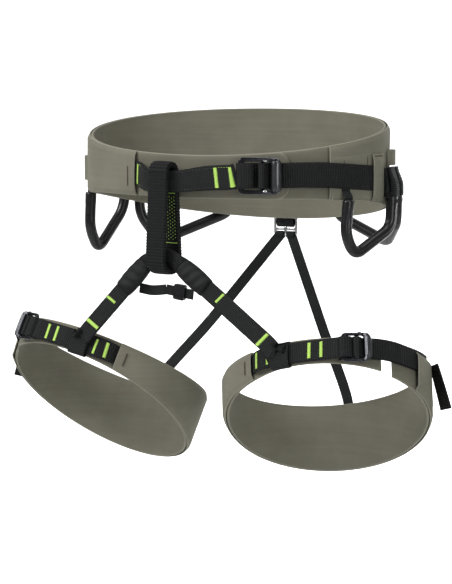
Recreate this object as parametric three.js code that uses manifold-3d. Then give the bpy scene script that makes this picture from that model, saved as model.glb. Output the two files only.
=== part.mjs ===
// Climbing sit harness: laminated waist belt and leg loops, webbing straps with buckles,
// belay loop, four moulded gear loops and elastic rear risers. Millimetres, +Z up.
// The origin is the centre of the waist belt; -Y is the wearer's front, +X the wearer's left.
import * as THREE from 'three';
import { mergeVertices } from 'three/addons/utils/BufferGeometryUtils.js';
import Module from 'manifold-3d';

const wasm = await Module();
wasm.setup();

// ---------------------------------------------------------------- driving dimensions

const waistHalfWidth = 159.6;
const waistHalfDepth = 99.7;
const legHalfWidth = 104.3;
const legHalfDepth = 84.2;
const legCentre = new THREE.Vector3(119.6, -46, -211.1);
const legUp = new THREE.Vector3(-0.209, 0.3652, 0.9072).normalize();

const shellThickness = 1.3;
const coreThickness = 1.6;
const linerThickness = 2.4;
const pocketDepth = 2.2;
const layerGap = 0.3;

const waistWebbing = 24;
const legWebbing = 20;
const webbingThickness = 1.5;
const tieInThickness = 3.2;
const riserWidth = 17;
const elasticWidth = 12;
const elasticThickness = 1.6;

const tubeRadius = 5.7;
const tubeClearance = 1.8;
const tubeStandoff = tubeRadius + tubeClearance;

const belayLoopWidth = 23;
const belayLoopThickness = 5;
const belayLoopYaw = 12;
const belayTopRadius = 7;
const belayBottomRadius = 12;
const belayAxis = new THREE.Vector3(-21.5, -111.5, 0);
const belayTopZ = 0.9;
const belayBottomZ = -83;
const bridgeHeight = 78.8;

// Places round the belt and the leg loops, in degrees from the wearer's front.
const beltOpeningInner = -340;
const beltTongueEnd = 37;
const shellRightSlit = -23.6;
const shellLeftSlit = 53.5;
const waistKeeperSlit = 77;
const legBandEnd = 53;
const legBandRestart = 61.5;
const legInnerSlit = -22;
const legOuterSlit = 80;

const waistBuckle = {
  angle: 26.5, height: -2, length: 42, depth: 35, webbing: waistWebbing,
  attachBar: 5, lip: 11.7, barAt: 2.1, travel: 2.5,
};
const legBuckle = {
  angle: 38.5, height: 15, length: 29, depth: 28, webbing: legWebbing,
  attachBar: 4, lip: 8, barAt: 0.2, travel: 1.5,
};
const buckleThickness = 2.8;
const buckleCentreOffset = 6.8;
const turnBarHeight = 2.8;
const turnBarWidth = 3.6;

const rad = THREE.MathUtils.degToRad;

// ---------------------------------------------------------------- materials

const finish = (color, roughness, metalness = 0) =>
  new THREE.MeshStandardMaterial({ color, roughness, metalness });
const laminate = finish(0x77766a, 0.75);
const innerLaminate = finish(0x5f5e52, 0.8);
const loadSheet = finish(0x8d8a78, 0.6);
const webbing = finish(0x26282a, 0.85);
const softWebbing = finish(0x1d1e20, 0.9);
const mouldedPlastic = finish(0x1a1b1d, 0.35);
const anodised = finish(0x18191c, 0.3, 0.8);
const polished = finish(0xc9c9cb, 0.25, 1);

// ---------------------------------------------------------------- mesh helpers

const group = new THREE.Group();

function signedVolume(geometry) {
  const p = geometry.attributes.position;
  const index = geometry.index;
  const a = new THREE.Vector3();
  const b = new THREE.Vector3();
  const c = new THREE.Vector3();
  let sum = 0;
  for (let i = 0; i < index.count; i += 3) {
    a.fromBufferAttribute(p, index.getX(i));
    b.fromBufferAttribute(p, index.getX(i + 1));
    c.fromBufferAttribute(p, index.getX(i + 2));
    sum += a.dot(b.cross(c)) / 6;
  }
  return sum;
}

// One closed surface with shared corners and its faces pointing out.
function closed(geometry) {
  const bare = new THREE.BufferGeometry();
  bare.setAttribute('position', geometry.attributes.position.clone());
  if (geometry.index) bare.setIndex(geometry.index.clone());
  const merged = mergeVertices(bare, 1e-3);
  if (signedVolume(merged) < 0) {
    const index = merged.index;
    for (let i = 0; i < index.count; i += 3) {
      const second = index.getX(i + 1);
      index.setX(i + 1, index.getX(i + 2));
      index.setX(i + 2, second);
    }
  }
  merged.computeVertexNormals();
  return merged;
}

function toSolid(geometry) {
  const g = closed(geometry);
  return new wasm.Manifold(new wasm.Mesh({
    numProp: 3,
    vertProperties: new Float32Array(g.attributes.position.array),
    triVerts: new Uint32Array(g.index.array),
  }));
}

function fromSolid(solid) {
  const mesh = solid.getMesh();
  const geometry = new THREE.BufferGeometry();
  const positions = new THREE.BufferAttribute(new Float32Array(mesh.vertProperties), 3);
  geometry.setAttribute('position', positions);
  geometry.setIndex(new THREE.BufferAttribute(new Uint32Array(mesh.triVerts), 1));
  return closed(geometry);
}

const join = (a, b) => fromSolid(toSolid(a).add(toSolid(b)));
const cut = (a, b) => fromSolid(toSolid(a).subtract(toSolid(b)));
const common = (a, b) => fromSolid(toSolid(a).intersect(toSolid(b)));

function mirrored(geometry) {
  return closed(geometry.clone().applyMatrix4(new THREE.Matrix4().makeScale(-1, 1, 1)));
}

function add(name, geometry, material) {
  const mesh = new THREE.Mesh(geometry, material);
  mesh.name = name;
  group.add(mesh);
  return mesh;
}

// A box whose points are moved by map(u, v, w), each running from 0 to 1.
function bend(map, steps, rows = 1, layers = 1) {
  const box = new THREE.BoxGeometry(1, 1, 1, steps, rows, layers);
  const p = box.attributes.position;
  for (let i = 0; i < p.count; i += 1) {
    const q = map(p.getX(i) + 0.5, p.getY(i) + 0.5, p.getZ(i) + 0.5);
    p.setXYZ(i, q.x, q.y, q.z);
  }
  return closed(box);
}

const smooth = (from, to, value) => THREE.MathUtils.smoothstep(value, from, to);
const mix = THREE.MathUtils.lerp;

// Straight interpolation in a list of rows, by the first entry of each row.
function between(rows, t) {
  const place = t * (rows.length - 1);
  const i = Math.min(Math.floor(place), rows.length - 2);
  return rows[i].map((value, k) => mix(value, rows[i + 1][k], place - i));
}

// ---------------------------------------------------------------- the two curved bands

class BandSurface {
  constructor(centre, side, back, up, halfWidth, halfDepth, top, bottom) {
    Object.assign(this, { centre, side, back, up, halfWidth, halfDepth, top, bottom });
  }

  normal(angle) {
    const s = Math.sin(rad(angle));
    const c = Math.cos(rad(angle));
    return new THREE.Vector3()
      .addScaledVector(this.side, s / this.halfWidth)
      .addScaledVector(this.back, -c / this.halfDepth)
      .normalize();
  }

  tangent(angle) {
    const s = Math.sin(rad(angle));
    const c = Math.cos(rad(angle));
    return new THREE.Vector3()
      .addScaledVector(this.side, this.halfWidth * c)
      .addScaledVector(this.back, this.halfDepth * s)
      .normalize();
  }

  at(angle, height, offset) {
    const s = Math.sin(rad(angle));
    const c = Math.cos(rad(angle));
    return this.centre.clone()
      .addScaledVector(this.side, this.halfWidth * s)
      .addScaledVector(this.back, -this.halfDepth * c)
      .addScaledVector(this.up, height)
      .addScaledVector(this.normal(angle), offset);
  }

  // Millimetres along the band per degree.
  pace(angle) {
    const s = Math.sin(rad(angle));
    const c = Math.cos(rad(angle));
    return rad(1) * Math.hypot(this.halfWidth * c, this.halfDepth * s);
  }

  // [angle, offset] of the place on the band nearest to a point.
  locate(point, firstGuess) {
    let angle = firstGuess;
    for (let i = 0; i < 12; i += 1) {
      const slip = point.clone().sub(this.at(angle, 0, 0)).dot(this.tangent(angle));
      angle += slip / this.pace(angle);
    }
    return [angle, point.clone().sub(this.at(angle, 0, 0)).dot(this.normal(angle))];
  }

  // Local frame: x along the band, y up, z outwards.
  frame(angle, height, offset) {
    const m = new THREE.Matrix4();
    m.makeBasis(this.tangent(angle), this.up, this.normal(angle));
    m.setPosition(this.at(angle, height, offset));
    return m;
  }
}

function edge(mean, cosine, sine, cosine2) {
  return (angle) => mean + cosine * Math.cos(rad(angle)) + sine * Math.sin(rad(angle))
    + cosine2 * Math.cos(rad(2 * angle));
}

const waist = new BandSurface(
  new THREE.Vector3(0, 0, 0), new THREE.Vector3(1, 0, 0), new THREE.Vector3(0, 1, 0),
  new THREE.Vector3(0, 0, 1), waistHalfWidth, waistHalfDepth,
  edge(36.95, -19.53, 0, -1.09), edge(-36.29, 16.22, 0, -4.86),
);

const legSide = new THREE.Vector3(legUp.z, 0, -legUp.x).normalize();
const legBack = new THREE.Vector3().crossVectors(legUp, legSide);
const leg = new BandSurface(
  legCentre, legSide, legBack, legUp, legHalfWidth, legHalfDepth,
  edge(18.72, 9.91, 0.79, 0), edge(-27.21, 31.13, 4.19, 0),
);

// A band between two angles; low, high, inner and outer are functions of the angle and,
// for the offsets, of the share v of the height.
function band(surface, from, to, { inner, outer, low = surface.bottom, high = surface.top,
  steps, rows = 1 }) {
  return bend((u, v, w) => {
    const angle = mix(from, to, u);
    const height = mix(low(angle), high(angle), v);
    return surface.at(angle, height, mix(inner(angle, v), outer(angle, v), w));
  }, steps, rows);
}

// A webbing strap lying along a band: stations of [angle, height, offset, width, thickness].
function strapAlong(surface, stations, stepsPerSpan = 3) {
  return bend((u, v, w) => {
    const [angle, height, offset, width, thickness] = between(stations, u);
    return surface.at(angle, height + (v - 0.5) * width, offset + (w - 0.5) * thickness);
  }, stepsPerSpan * (stations.length - 1));
}

// A flat ribbon along a curve, its width pointing along the given direction.
function ribbon(curve, widthWay, width, thickness, steps) {
  return bend((u, v, w) => {
    const tangent = curve.getTangentAt(u);
    const normal = new THREE.Vector3().crossVectors(tangent, widthWay).normalize();
    const across = new THREE.Vector3().crossVectors(normal, tangent).normalize();
    return curve.getPointAt(u)
      .addScaledVector(across, (v - 0.5) * width)
      .addScaledVector(normal, (w - 0.5) * thickness);
  }, steps);
}

// ---------------------------------------------------------------- profiles

// The outline of a ribbon seen edge-on: its centreline thickened to both sides.
function ribbonOutline(centreline, thickness) {
  const left = [];
  const right = [];
  centreline.forEach((point, i) => {
    const before = centreline[Math.max(i - 1, 0)];
    const after = centreline[Math.min(i + 1, centreline.length - 1)];
    const way = after.clone().sub(before).normalize();
    const side = new THREE.Vector2(-way.y, way.x).multiplyScalar(thickness / 2);
    left.push(point.clone().add(side));
    right.unshift(point.clone().sub(side));
  });
  return new THREE.Shape([...left, ...right]);
}

function arcPoints(x, y, radius, fromDegrees, toDegrees, steps) {
  return Array.from({ length: steps + 1 }, (_, i) => {
    const a = rad(mix(fromDegrees, toDegrees, i / steps));
    return new THREE.Vector2(x + radius * Math.cos(a), y + radius * Math.sin(a));
  });
}

// A shape drawn in x and z, made solid across y, centred on y = 0.
function across(shape, width, curveSegments = 6) {
  const options = { depth: width, bevelEnabled: false, curveSegments };
  const geometry = new THREE.ExtrudeGeometry(shape, options);
  return geometry.translate(0, 0, -width / 2).rotateX(Math.PI / 2);
}

// A shape drawn in x and y, made solid between two levels of z.
function upright(shape, low, high, curveSegments = 4) {
  const options = { depth: high - low, bevelEnabled: false, curveSegments };
  return new THREE.ExtrudeGeometry(shape, options).translate(0, 0, low);
}

function roundedRectangle(x0, y0, x1, y1, radius) {
  const shape = new THREE.Shape();
  shape.absarc(x1 - radius, y1 - radius, radius, 0, Math.PI / 2);
  shape.absarc(x0 + radius, y1 - radius, radius, Math.PI / 2, Math.PI);
  shape.absarc(x0 + radius, y0 + radius, radius, Math.PI, 1.5 * Math.PI);
  shape.absarc(x1 - radius, y0 + radius, radius, 1.5 * Math.PI, 2 * Math.PI);
  shape.closePath();
  return shape;
}

function boxAt(x0, x1, y0, y1, z0, z1) {
  return new THREE.BoxGeometry(x1 - x0, y1 - y0, z1 - z0)
    .translate((x0 + x1) / 2, (y0 + y1) / 2, (z0 + z1) / 2);
}

// A closed flat ring of webbing round two centres, drawn in x and z.
function ringShape(top, topRadius, bottom, bottomRadius, thickness, arcSteps = 8) {
  const outline = (extra) => {
    const r1 = topRadius + extra;
    const r2 = bottomRadius + extra;
    const lean = THREE.MathUtils.radToDeg(Math.asin((r2 - r1) / (top - bottom)));
    return [
      ...arcPoints(0, top, r1, lean, 180 - lean, arcSteps),
      ...arcPoints(0, bottom, r2, 180 - lean, 360 + lean, arcSteps),
    ];
  };
  const shape = new THREE.Shape(outline(thickness / 2));
  shape.holes.push(new THREE.Path(outline(-thickness / 2)));
  return shape;
}

// ---------------------------------------------------------------- layer offsets

const linerFace = -shellThickness - pocketDepth;
const tongueFace = (angle) => linerFace + 3.1 * smooth(-20, 10, angle);
const legFrontFace = (angle) => linerFace + 3.2 * smooth(338, 362, angle);

// ---------------------------------------------------------------- waist belt

function waistBelt() {
  const whole = 360;
  add('waist_shell', band(waist, shellLeftSlit - whole, shellRightSlit, {
    inner: () => -shellThickness, outer: () => 0, steps: 60,
  }), laminate);
  const coreInset = 6;
  add('waist_core', band(waist, -284, -46, {
    inner: () => linerFace + layerGap,
    outer: () => linerFace + layerGap + coreThickness,
    low: (a) => waist.bottom(a) + coreInset,
    high: (a) => waist.top(a) - coreInset,
    steps: 48,
  }), loadSheet);
  add('waist_liner', band(waist, beltOpeningInner, beltTongueEnd, {
    inner: (a) => tongueFace(a) - linerThickness, outer: tongueFace, steps: 76,
  }), innerLaminate);
  // The keeper is a raised panel, sewn down along its top and bottom edges.
  const raised = (v) => layerGap + 2.1 * Math.min(1, 6 * Math.min(v, 1 - v));
  add('waist_strap_keeper', band(waist, waistKeeperSlit, 85.5, {
    inner: (a, v) => raised(v), outer: (a, v) => raised(v) + 1.2,
    low: () => -27, high: () => 15, steps: 5, rows: 6,
  }), laminate);
}

// ---------------------------------------------------------------- buckles

// Places in a buckle's own frame: x along the strap, z outwards, z = 0 on the band's face.
function buckleLayout(b) {
  const railY = b.webbing / 2 + 1.2;
  const left = -b.length / 2;
  return {
    railY,
    left,
    right: b.length / 2,
    attachX: left + b.attachBar / 2,
    windowFrom: left + b.attachBar,
    windowTo: b.length / 2 - b.lip,
    low: buckleCentreOffset - buckleThickness / 2,
    high: buckleCentreOffset + buckleThickness / 2,
  };
}

const barPocket = 2.4;

function buckleFrame(b) {
  const p = buckleLayout(b);
  const outline = roundedRectangle(p.left, -b.depth / 2, p.right, b.depth / 2, 5);
  const plate = outline.clone();
  plate.holes.push(new THREE.Path([
    new THREE.Vector2(p.windowFrom, -p.railY), new THREE.Vector2(p.windowTo, -p.railY),
    new THREE.Vector2(p.windowTo, p.railY), new THREE.Vector2(p.windowFrom, p.railY),
  ]));
  const crown = new THREE.Shape([
    new THREE.Vector2(p.windowTo, p.high - 0.5),
    new THREE.Vector2(p.right, p.high - 0.5),
    ...arcPoints(p.right - b.lip / 2, p.high, b.lip / 2, 15, 165, 6),
  ]);
  const lip = common(across(crown, b.depth), upright(outline, 0, 3 * buckleCentreOffset));
  const slotX0 = b.barAt - 1.7 - b.travel;
  const slotX1 = b.barAt + 1.7;
  const slots = boxAt(slotX0, slotX1, -p.railY - barPocket, p.railY + barPocket,
    buckleCentreOffset - 0.9, buckleCentreOffset + 0.9);
  return cut(join(upright(plate, p.low, p.high), lip), slots);
}

// The floating bar that the strap turns round; its flat ends run in slots in the rails.
function buckleBar(b) {
  const p = buckleLayout(b);
  const body = boxAt(-turnBarWidth / 2, turnBarWidth / 2, layerGap - p.railY,
    p.railY - layerGap, -turnBarHeight / 2, turnBarHeight / 2);
  const tenonY = p.railY + barPocket - layerGap;
  const tenons = boxAt(-1.4, 1.4, -tenonY, tenonY, -0.6, 0.6);
  return join(body, tenons).translate(b.barAt, 0, buckleCentreOffset);
}

// The stretch of strap that turns round the floating bar and goes back under the lip.
const turnEnd = (b) => buckleLayout(b).windowTo + 0.6;
const liveOffset = 1.9;
const runGap = 0.6;
const overOffset = liveOffset + webbingThickness + runGap;
const layingOffset = layerGap + webbingThickness / 2 + 0.1;

function strapTurn(b) {
  const barCorner = Math.hypot(turnBarWidth, turnBarHeight) / 2;
  const radius = barCorner + 0.5 + webbingThickness / 2;
  const end = turnEnd(b) - 2 * layerGap;
  const line = [
    new THREE.Vector2(end, liveOffset),
    new THREE.Vector2(end - 2, liveOffset + 0.1),
    ...arcPoints(b.barAt, buckleCentreOffset, radius, 280, 60, 10),
    new THREE.Vector2(end - 1.4, overOffset + 0.7),
    new THREE.Vector2(end, overOffset),
  ];
  return across(ribbonOutline(line, webbingThickness), b.webbing);
}

// The eye of a strap round the fixed bar of its buckle.
const eyeRadius = 3.95;

function strapEye(b) {
  const p = buckleLayout(b);
  const eye = new THREE.Shape(arcPoints(0, 0, eyeRadius + webbingThickness / 2, 0, 330, 11));
  eye.holes.push(new THREE.Path(arcPoints(0, 0, eyeRadius - webbingThickness / 2, 0, 330, 11)));
  return across(eye, b.webbing).translate(p.attachX, 0, buckleCentreOffset);
}

// [angle, offset] on the band of a place x, z in the buckle's frame.
function fromBuckle(surface, b, x, z) {
  const point = new THREE.Vector3(x, 0, z).applyMatrix4(surface.frame(b.angle, b.height, 0));
  return surface.locate(point, b.angle);
}

// ---------------------------------------------------------------- waist straps

function waistStraps() {
  const b = waistBuckle;
  const p = buckleLayout(b);
  const place = waist.frame(b.angle, b.height, 0);
  const pocket = linerFace + pocketDepth / 2;
  const [eyeAngle, eyeOffset] = fromBuckle(waist, b, p.attachX - eyeRadius, buckleCentreOffset);
  const t = webbingThickness;
  const w = waistWebbing;
  const loopOffset = -belayAxis.y - waistHalfDepth + 0.85;
  const strap = strapAlong(waist, [
    [-44, -3, pocket, w, t],
    [shellRightSlit + 0.3, -3.3, pocket, w, t],
    [-20.3, -4, 1.6, w, 2.4],
    [-14, -8.5, loopOffset, 22, tieInThickness],
    [-7.4, -8.7, loopOffset, 22, tieInThickness],
    [-1, -8, loopOffset, 22, tieInThickness],
    [8, -4.5, 10.6, w, tieInThickness],
    [eyeAngle, b.height, eyeOffset, w, tieInThickness],
  ]);
  const eye = strapEye(b).applyMatrix4(place);
  add('tie_in_strap', join(strap, eye), webbing);
  add('waist_buckle_frame', closed(buckleFrame(b).applyMatrix4(place)), anodised);
  add('waist_buckle_bar', closed(buckleBar(b).applyMatrix4(place)), anodised);
  add('waist_strap_turn', closed(strapTurn(b).applyMatrix4(place)), webbing);
  const [liveAngle, liveLow] = fromBuckle(waist, b, turnEnd(b), liveOffset);
  add('waist_strap_live', strapAlong(waist, [
    [liveAngle, b.height, liveLow, w, t],
    [38.5, -1.6, 1.6, w, t],
    [45, -1.4, -1.2, w, t],
    [51, -1.6, pocket, w, t],
    [66, -3, pocket, w, t],
  ]), webbing);
  const [overAngle, overLow] = fromBuckle(waist, b, turnEnd(b), overOffset);
  add('waist_strap_tail', strapAlong(waist, [
    [overAngle, b.height, overLow, w, t],
    [39, -1.5, layingOffset + 2.45, w, t],
    [46, -1.4, layingOffset + 0.35, w, t],
    [54, -2, layingOffset, w, t],
    [76, -5.5, layingOffset, w, t],
    [84.5, -6.6, layingOffset, w, t],
  ]), webbing);
}

// ---------------------------------------------------------------- belay loop and bridge

const belayAcross = new THREE.Vector3(Math.cos(rad(belayLoopYaw)), -Math.sin(rad(belayLoopYaw)), 0);
const belayFrame = new THREE.Matrix4().makeBasis(
  new THREE.Vector3(-belayAcross.y, belayAcross.x, 0), belayAcross.clone().negate(),
  new THREE.Vector3(0, 0, 1),
).setPosition(belayAxis);
const bridgeCentre = new THREE.Vector3(belayAxis.x, belayAxis.y, -bridgeHeight);
const bridgeHalfLength = 19.5;
const bridgeThickness = 6;
// Inside the belay loop the bridge lies square to the loop.
const bridgeDrift = (x) => -Math.tan(rad(belayLoopYaw)) * THREE.MathUtils.clamp(x, -14, 14);

function belayLoop() {
  const ring = ringShape(belayTopZ, belayTopRadius, belayBottomZ, belayBottomRadius,
    belayLoopThickness);
  add('belay_loop', closed(across(ring, belayLoopWidth).applyMatrix4(belayFrame)), webbing);
  const arch = [[-bridgeHalfLength, -9.5], [-14, -4.5], [-7, -1], [0, 0], [7, -1], [14, -4.5],
    [bridgeHalfLength, -9.5]];
  const line = new THREE.CatmullRomCurve3(arch.map(([x, z]) =>
    bridgeCentre.clone().add(new THREE.Vector3(x, bridgeDrift(x), z))));
  const up = new THREE.Vector3(0, 0, 1);
  add('leg_bridge', ribbon(line, up, 13, bridgeThickness, 12), softWebbing);
}

// ---------------------------------------------------------------- gear loops

// Straight runs with rounded corners through the given points.
function roundedPath(points, radius) {
  const path = new THREE.CurvePath();
  let start = points[0];
  for (let i = 1; i < points.length - 1; i += 1) {
    const before = points[i].clone().sub(points[i - 1]).normalize();
    const after = points[i + 1].clone().sub(points[i]).normalize();
    const reach = radius;
    const enter = points[i].clone().addScaledVector(before, -reach);
    const leave = points[i].clone().addScaledVector(after, reach);
    path.add(new THREE.LineCurve3(start, enter));
    path.add(new THREE.QuadraticBezierCurve3(enter, points[i], leave));
    start = leave;
  }
  path.add(new THREE.LineCurve3(start, points[points.length - 1]));
  return path;
}

function tube(path, radius, sides, steps) {
  const section = new THREE.Shape(arcPoints(0, 0, radius, 0, 360 - 360 / sides, sides - 1));
  return closed(new THREE.ExtrudeGeometry(section, {
    extrudePath: path, steps, bevelEnabled: false,
  }));
}

// Each loop runs down its front arm, round its low corner and back up: [angle, height].
const frontTabTop = -4.9 - waistWebbing / 2;
const frontTabLength = 5.9;
const gearLoops = {
  gear_loop_front_left: [[61, frontTabTop - frontTabLength - 2.5], [59.5, -57], [64, -78], [89, -54], [90, -20]],
  gear_loop_rear_left: [[99, -20], [101, -50], [124, -74], [156, -52], [156, -36]],
  gear_loop_front_right: [[-91, -30], [-89.5, -67], [-97, -90], [-113.5, -49], [-114.5, -24]],
  gear_loop_rear_right: [[-121.5, -24], [-122, -56], [-131, -84], [-160, -53], [-160, -36]],
};

// Tabs of webbing that hold the loops' arms: [angle, width, top height, foot height].
const gearTabs = {
  gear_tab_front_left: [61, 9, frontTabTop, frontTabTop - frontTabLength],
  gear_tab_side_left: [94.5, 26, 3.5, -16.3],
  gear_tab_rear_left: [156, 12, -14, -33.5],
  gear_tab_front_right: [-91, 10, -18, -27.5],
  gear_tab_side_right: [-118, 25, 0, -21.5],
  gear_tab_rear_right: [-160, 12, -14, -33.5],
};

const cornerRadius = 11;

function gearRacking() {
  Object.entries(gearLoops).forEach(([name, places]) => {
    const points = places.map(([angle, height]) => waist.at(angle, height, tubeStandoff));
    add(name, tube(roundedPath(points, cornerRadius), tubeRadius, 10, 30), mouldedPlastic);
  });
  Object.entries(gearTabs).forEach(([name, [angle, width, top, foot]]) => {
    const half = width / waist.pace(angle) / 2;
    add(name, bend((u, v, w) => {
      const height = mix(foot, top, v);
      const lean = mix(tubeStandoff, 1.5, smooth(0, 1, v));
      return waist.at(angle + (u - 0.5) * 2 * half, height, lean + (w - 0.5) * 2.2);
    }, 3, 4), webbing);
  });
  // Sleeves on the belt's sides for a clip: a tunnel open above and below.
  const sleeves = { left: [98, 5, 20, 4.8], right: [-86, -16.5, 8.5, 6.6] };
  Object.entries(sleeves).forEach(([side, [angle, low, high, rise]]) => {
    const spread = 5.2;
    const bulge = (a) => layerGap + rise * (1 - Math.abs((a - angle) / spread) ** 3);
    add(`ice_clipper_sleeve_${side}`, band(waist, angle - spread, angle + spread, {
      inner: (a) => bulge(a), outer: (a) => bulge(a) + 1.2,
      low: () => low, high: () => high, steps: 10,
    }), laminate);
  });
}

// ---------------------------------------------------------------- rear hook and haul loop

const rearHookAngle = 177.8;
const rearHookZ = -66;
const rearHookWidth = 27;
const rearHookHeight = 21;
const rearHookOffset = 4.4;

function rearPieces() {
  const place = waist.frame(rearHookAngle, rearHookZ, rearHookOffset);
  const half = rearHookHeight / 2;
  const side = rearHookWidth / 2;
  const bar = 2.6;
  const slot = (x0, y0, x1, y1) => boxAt(x0, x1, y0, y1, -5, 5);
  const plate = upright(roundedRectangle(-side, -half, side, half, 4), -1.2, 1.2);
  const upper = cut(plate, slot(bar - side, -2.0, side - bar, half - bar));
  const left = cut(upper, slot(bar - side, bar - half, -1.3, -4.8));
  const hook = cut(left, slot(1.3, bar - half, side - bar, -4.8));
  add('rear_hook', closed(hook.applyMatrix4(place)), polished);

  // Webbing tab: down over the belt's face, through the upper slot and back up.
  const eyeAt = half - bar / 2;
  const tabEye = arcPoints(eyeAt, 0, 2.9, 90, 270, 8);
  const tabLine = [new THREE.Vector2(36, 2.0), new THREE.Vector2(eyeAt + 4, 2.9),
    ...tabEye, new THREE.Vector2(eyeAt + 2.6, -2.35), new THREE.Vector2(eyeAt + 3.2, -1.2)];
  const tab = across(ribbonOutline(tabLine, 1.4), 20);
  const upwards = new THREE.Matrix4().makeRotationZ(Math.PI / 2);
  add('rear_anchor_tab', closed(tab.applyMatrix4(upwards).applyMatrix4(place)), softWebbing);

  // Eyes of the two rear elastics round the hook's lowest bar.
  const lowBar = bar / 2 - half;
  const eye = new THREE.Shape(arcPoints(0, 0, 3.4, 0, 330, 11));
  eye.holes.push(new THREE.Path(arcPoints(0, 0, 2.1, 0, 330, 11)));
  [['left', -1], ['right', 1]].forEach(([name, way]) => {
    const ring = across(eye, 9).applyMatrix4(upwards).translate(way * 6.1, lowBar, 0);
    add(`rear_elastic_eye_${name}`, closed(ring.applyMatrix4(place)), softWebbing);
  });

  const haul = [[-12, 28], [-13, 5], [0, -12], [13, 5], [12, 28]].map(([x, z]) =>
    waist.at(rearHookAngle + x / waist.pace(rearHookAngle), z, 4.5));
  const haulLine = new THREE.CatmullRomCurve3(haul, false, 'centripetal');
  add('haul_loop', ribbon(haulLine, waist.normal(rearHookAngle), 8, 1.8, 20), softWebbing);
}

// ---------------------------------------------------------------- leg loops

const mirrorSides = [['left', (g) => g], ['right', mirrored]];
const legStrapHeight = 15;
const wrapAngle = -1;
const wrapOffset = 4.05;
const wrapInnerHalf = 9.5;
const wrapRadius = 2.5;
const wrapThickness = 1.4;
const tailThickness = 1.6;

function addLegPieces(name, geometry, material) {
  mirrorSides.forEach(([side, flip]) => add(`${side}_${name}`, flip(geometry), material));
}

function legLoops() {
  const whole = 360;
  const bump = (a) => 2.1 * (1 - smooth(98, 108, a));
  addLegPieces('leg_shell', band(leg, legOuterSlit, whole + legInnerSlit, {
    inner: (a) => bump(a) - shellThickness, outer: bump, steps: 52,
  }), laminate);
  const coreInset = 5;
  addLegPieces('leg_core', band(leg, 112, 314, {
    inner: () => linerFace + layerGap,
    outer: () => linerFace + layerGap + coreThickness,
    low: (a) => leg.bottom(a) + coreInset,
    high: (a) => leg.top(a) - coreInset,
    steps: 36,
  }), loadSheet);
  addLegPieces('leg_liner', band(leg, legBandRestart, whole + legBandEnd, {
    inner: (a) => legFrontFace(a) - linerThickness, outer: legFrontFace, steps: 64,
  }), innerLaminate);
}

function legStraps() {
  const b = legBuckle;
  const p = buckleLayout(b);
  const place = leg.frame(b.angle, b.height, 0);
  const pocket = linerFace + pocketDepth / 2;
  const h = legStrapHeight;
  const w = legWebbing;
  const t = webbingThickness;
  const double = 2.4;
  const [eyeAngle, eyeOffset] = fromBuckle(leg, b, p.attachX - eyeRadius, buckleCentreOffset);
  const fixed = strapAlong(leg, [
    [-40, h - 1, pocket, w - 2, t],
    [legInnerSlit + 0.3, h - 0.5, pocket, w - 2, t],
    [-18.5, h, 1.2, w - 1, 2],
    [-12, h, 4.7, w, double],
    [wrapAngle, h, wrapOffset, w, double],
    [6, h, 4.7, w, double],
    [14, h, 4.6, w, double],
    [eyeAngle, h, eyeOffset, w, double],
  ]);
  const eye = strapEye(b).applyMatrix4(place);
  addLegPieces('leg_strap_fixed', join(fixed, eye), webbing);
  addLegPieces('leg_buckle_frame', closed(buckleFrame(b).applyMatrix4(place)), anodised);
  addLegPieces('leg_buckle_bar', closed(buckleBar(b).applyMatrix4(place)), anodised);
  addLegPieces('leg_strap_turn', closed(strapTurn(b).applyMatrix4(place)), webbing);

  const [liveAngle, liveLow] = fromBuckle(leg, b, turnEnd(b), liveOffset);
  addLegPieces('leg_strap_live', strapAlong(leg, [
    [liveAngle, h, liveLow, w, t],
    [52, h, 1.2, w, t],
    [58, h - 0.5, 0.2, w, t],
    [72, h - 2.5, pocket, w, t],
    [94, h - 4.5, pocket, w, t],
  ]), webbing);
  const [overAngle, overLow] = fromBuckle(leg, b, turnEnd(b), overOffset);
  addLegPieces('leg_strap_over', strapAlong(leg, [
    [overAngle, h, overLow, w, t],
    [48, h, 4.2, w, t],
    [58, h - 0.5, 2.4, w, t],
    [72, h - 2.5, -0.4, w, t],
    [94, h - 4.5, -0.4, w, t],
  ]), webbing);

  // The free end leaves the band behind the keeper, turns part of the way over and stands clear.
  addLegPieces('leg_strap_tail', bend((u, v, depth) => {
    const angle = mix(103.5, 109, u);
    const twist = rad(33);
    const along = leg.tangent(angle);
    const out = leg.normal(angle);
    return leg.at(angle, mix(4, -27, u), mix(5.9, 12.3, u))
      .addScaledVector(along, Math.cos(twist) * (v - 0.5) * (w - 2))
      .addScaledVector(out, -Math.sin(twist) * (v - 0.5) * (w - 2))
      .addScaledVector(out, Math.cos(twist) * (depth - 0.5) * tailThickness)
      .addScaledVector(along, Math.sin(twist) * (depth - 0.5) * tailThickness);
  }, 10), webbing);
}

// ---------------------------------------------------------------- risers and connector

const riserThickness = 3;
const sleeveLength = 31;
const connectorShare = 0.3;
const connectorBehind = 7.8;

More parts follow.
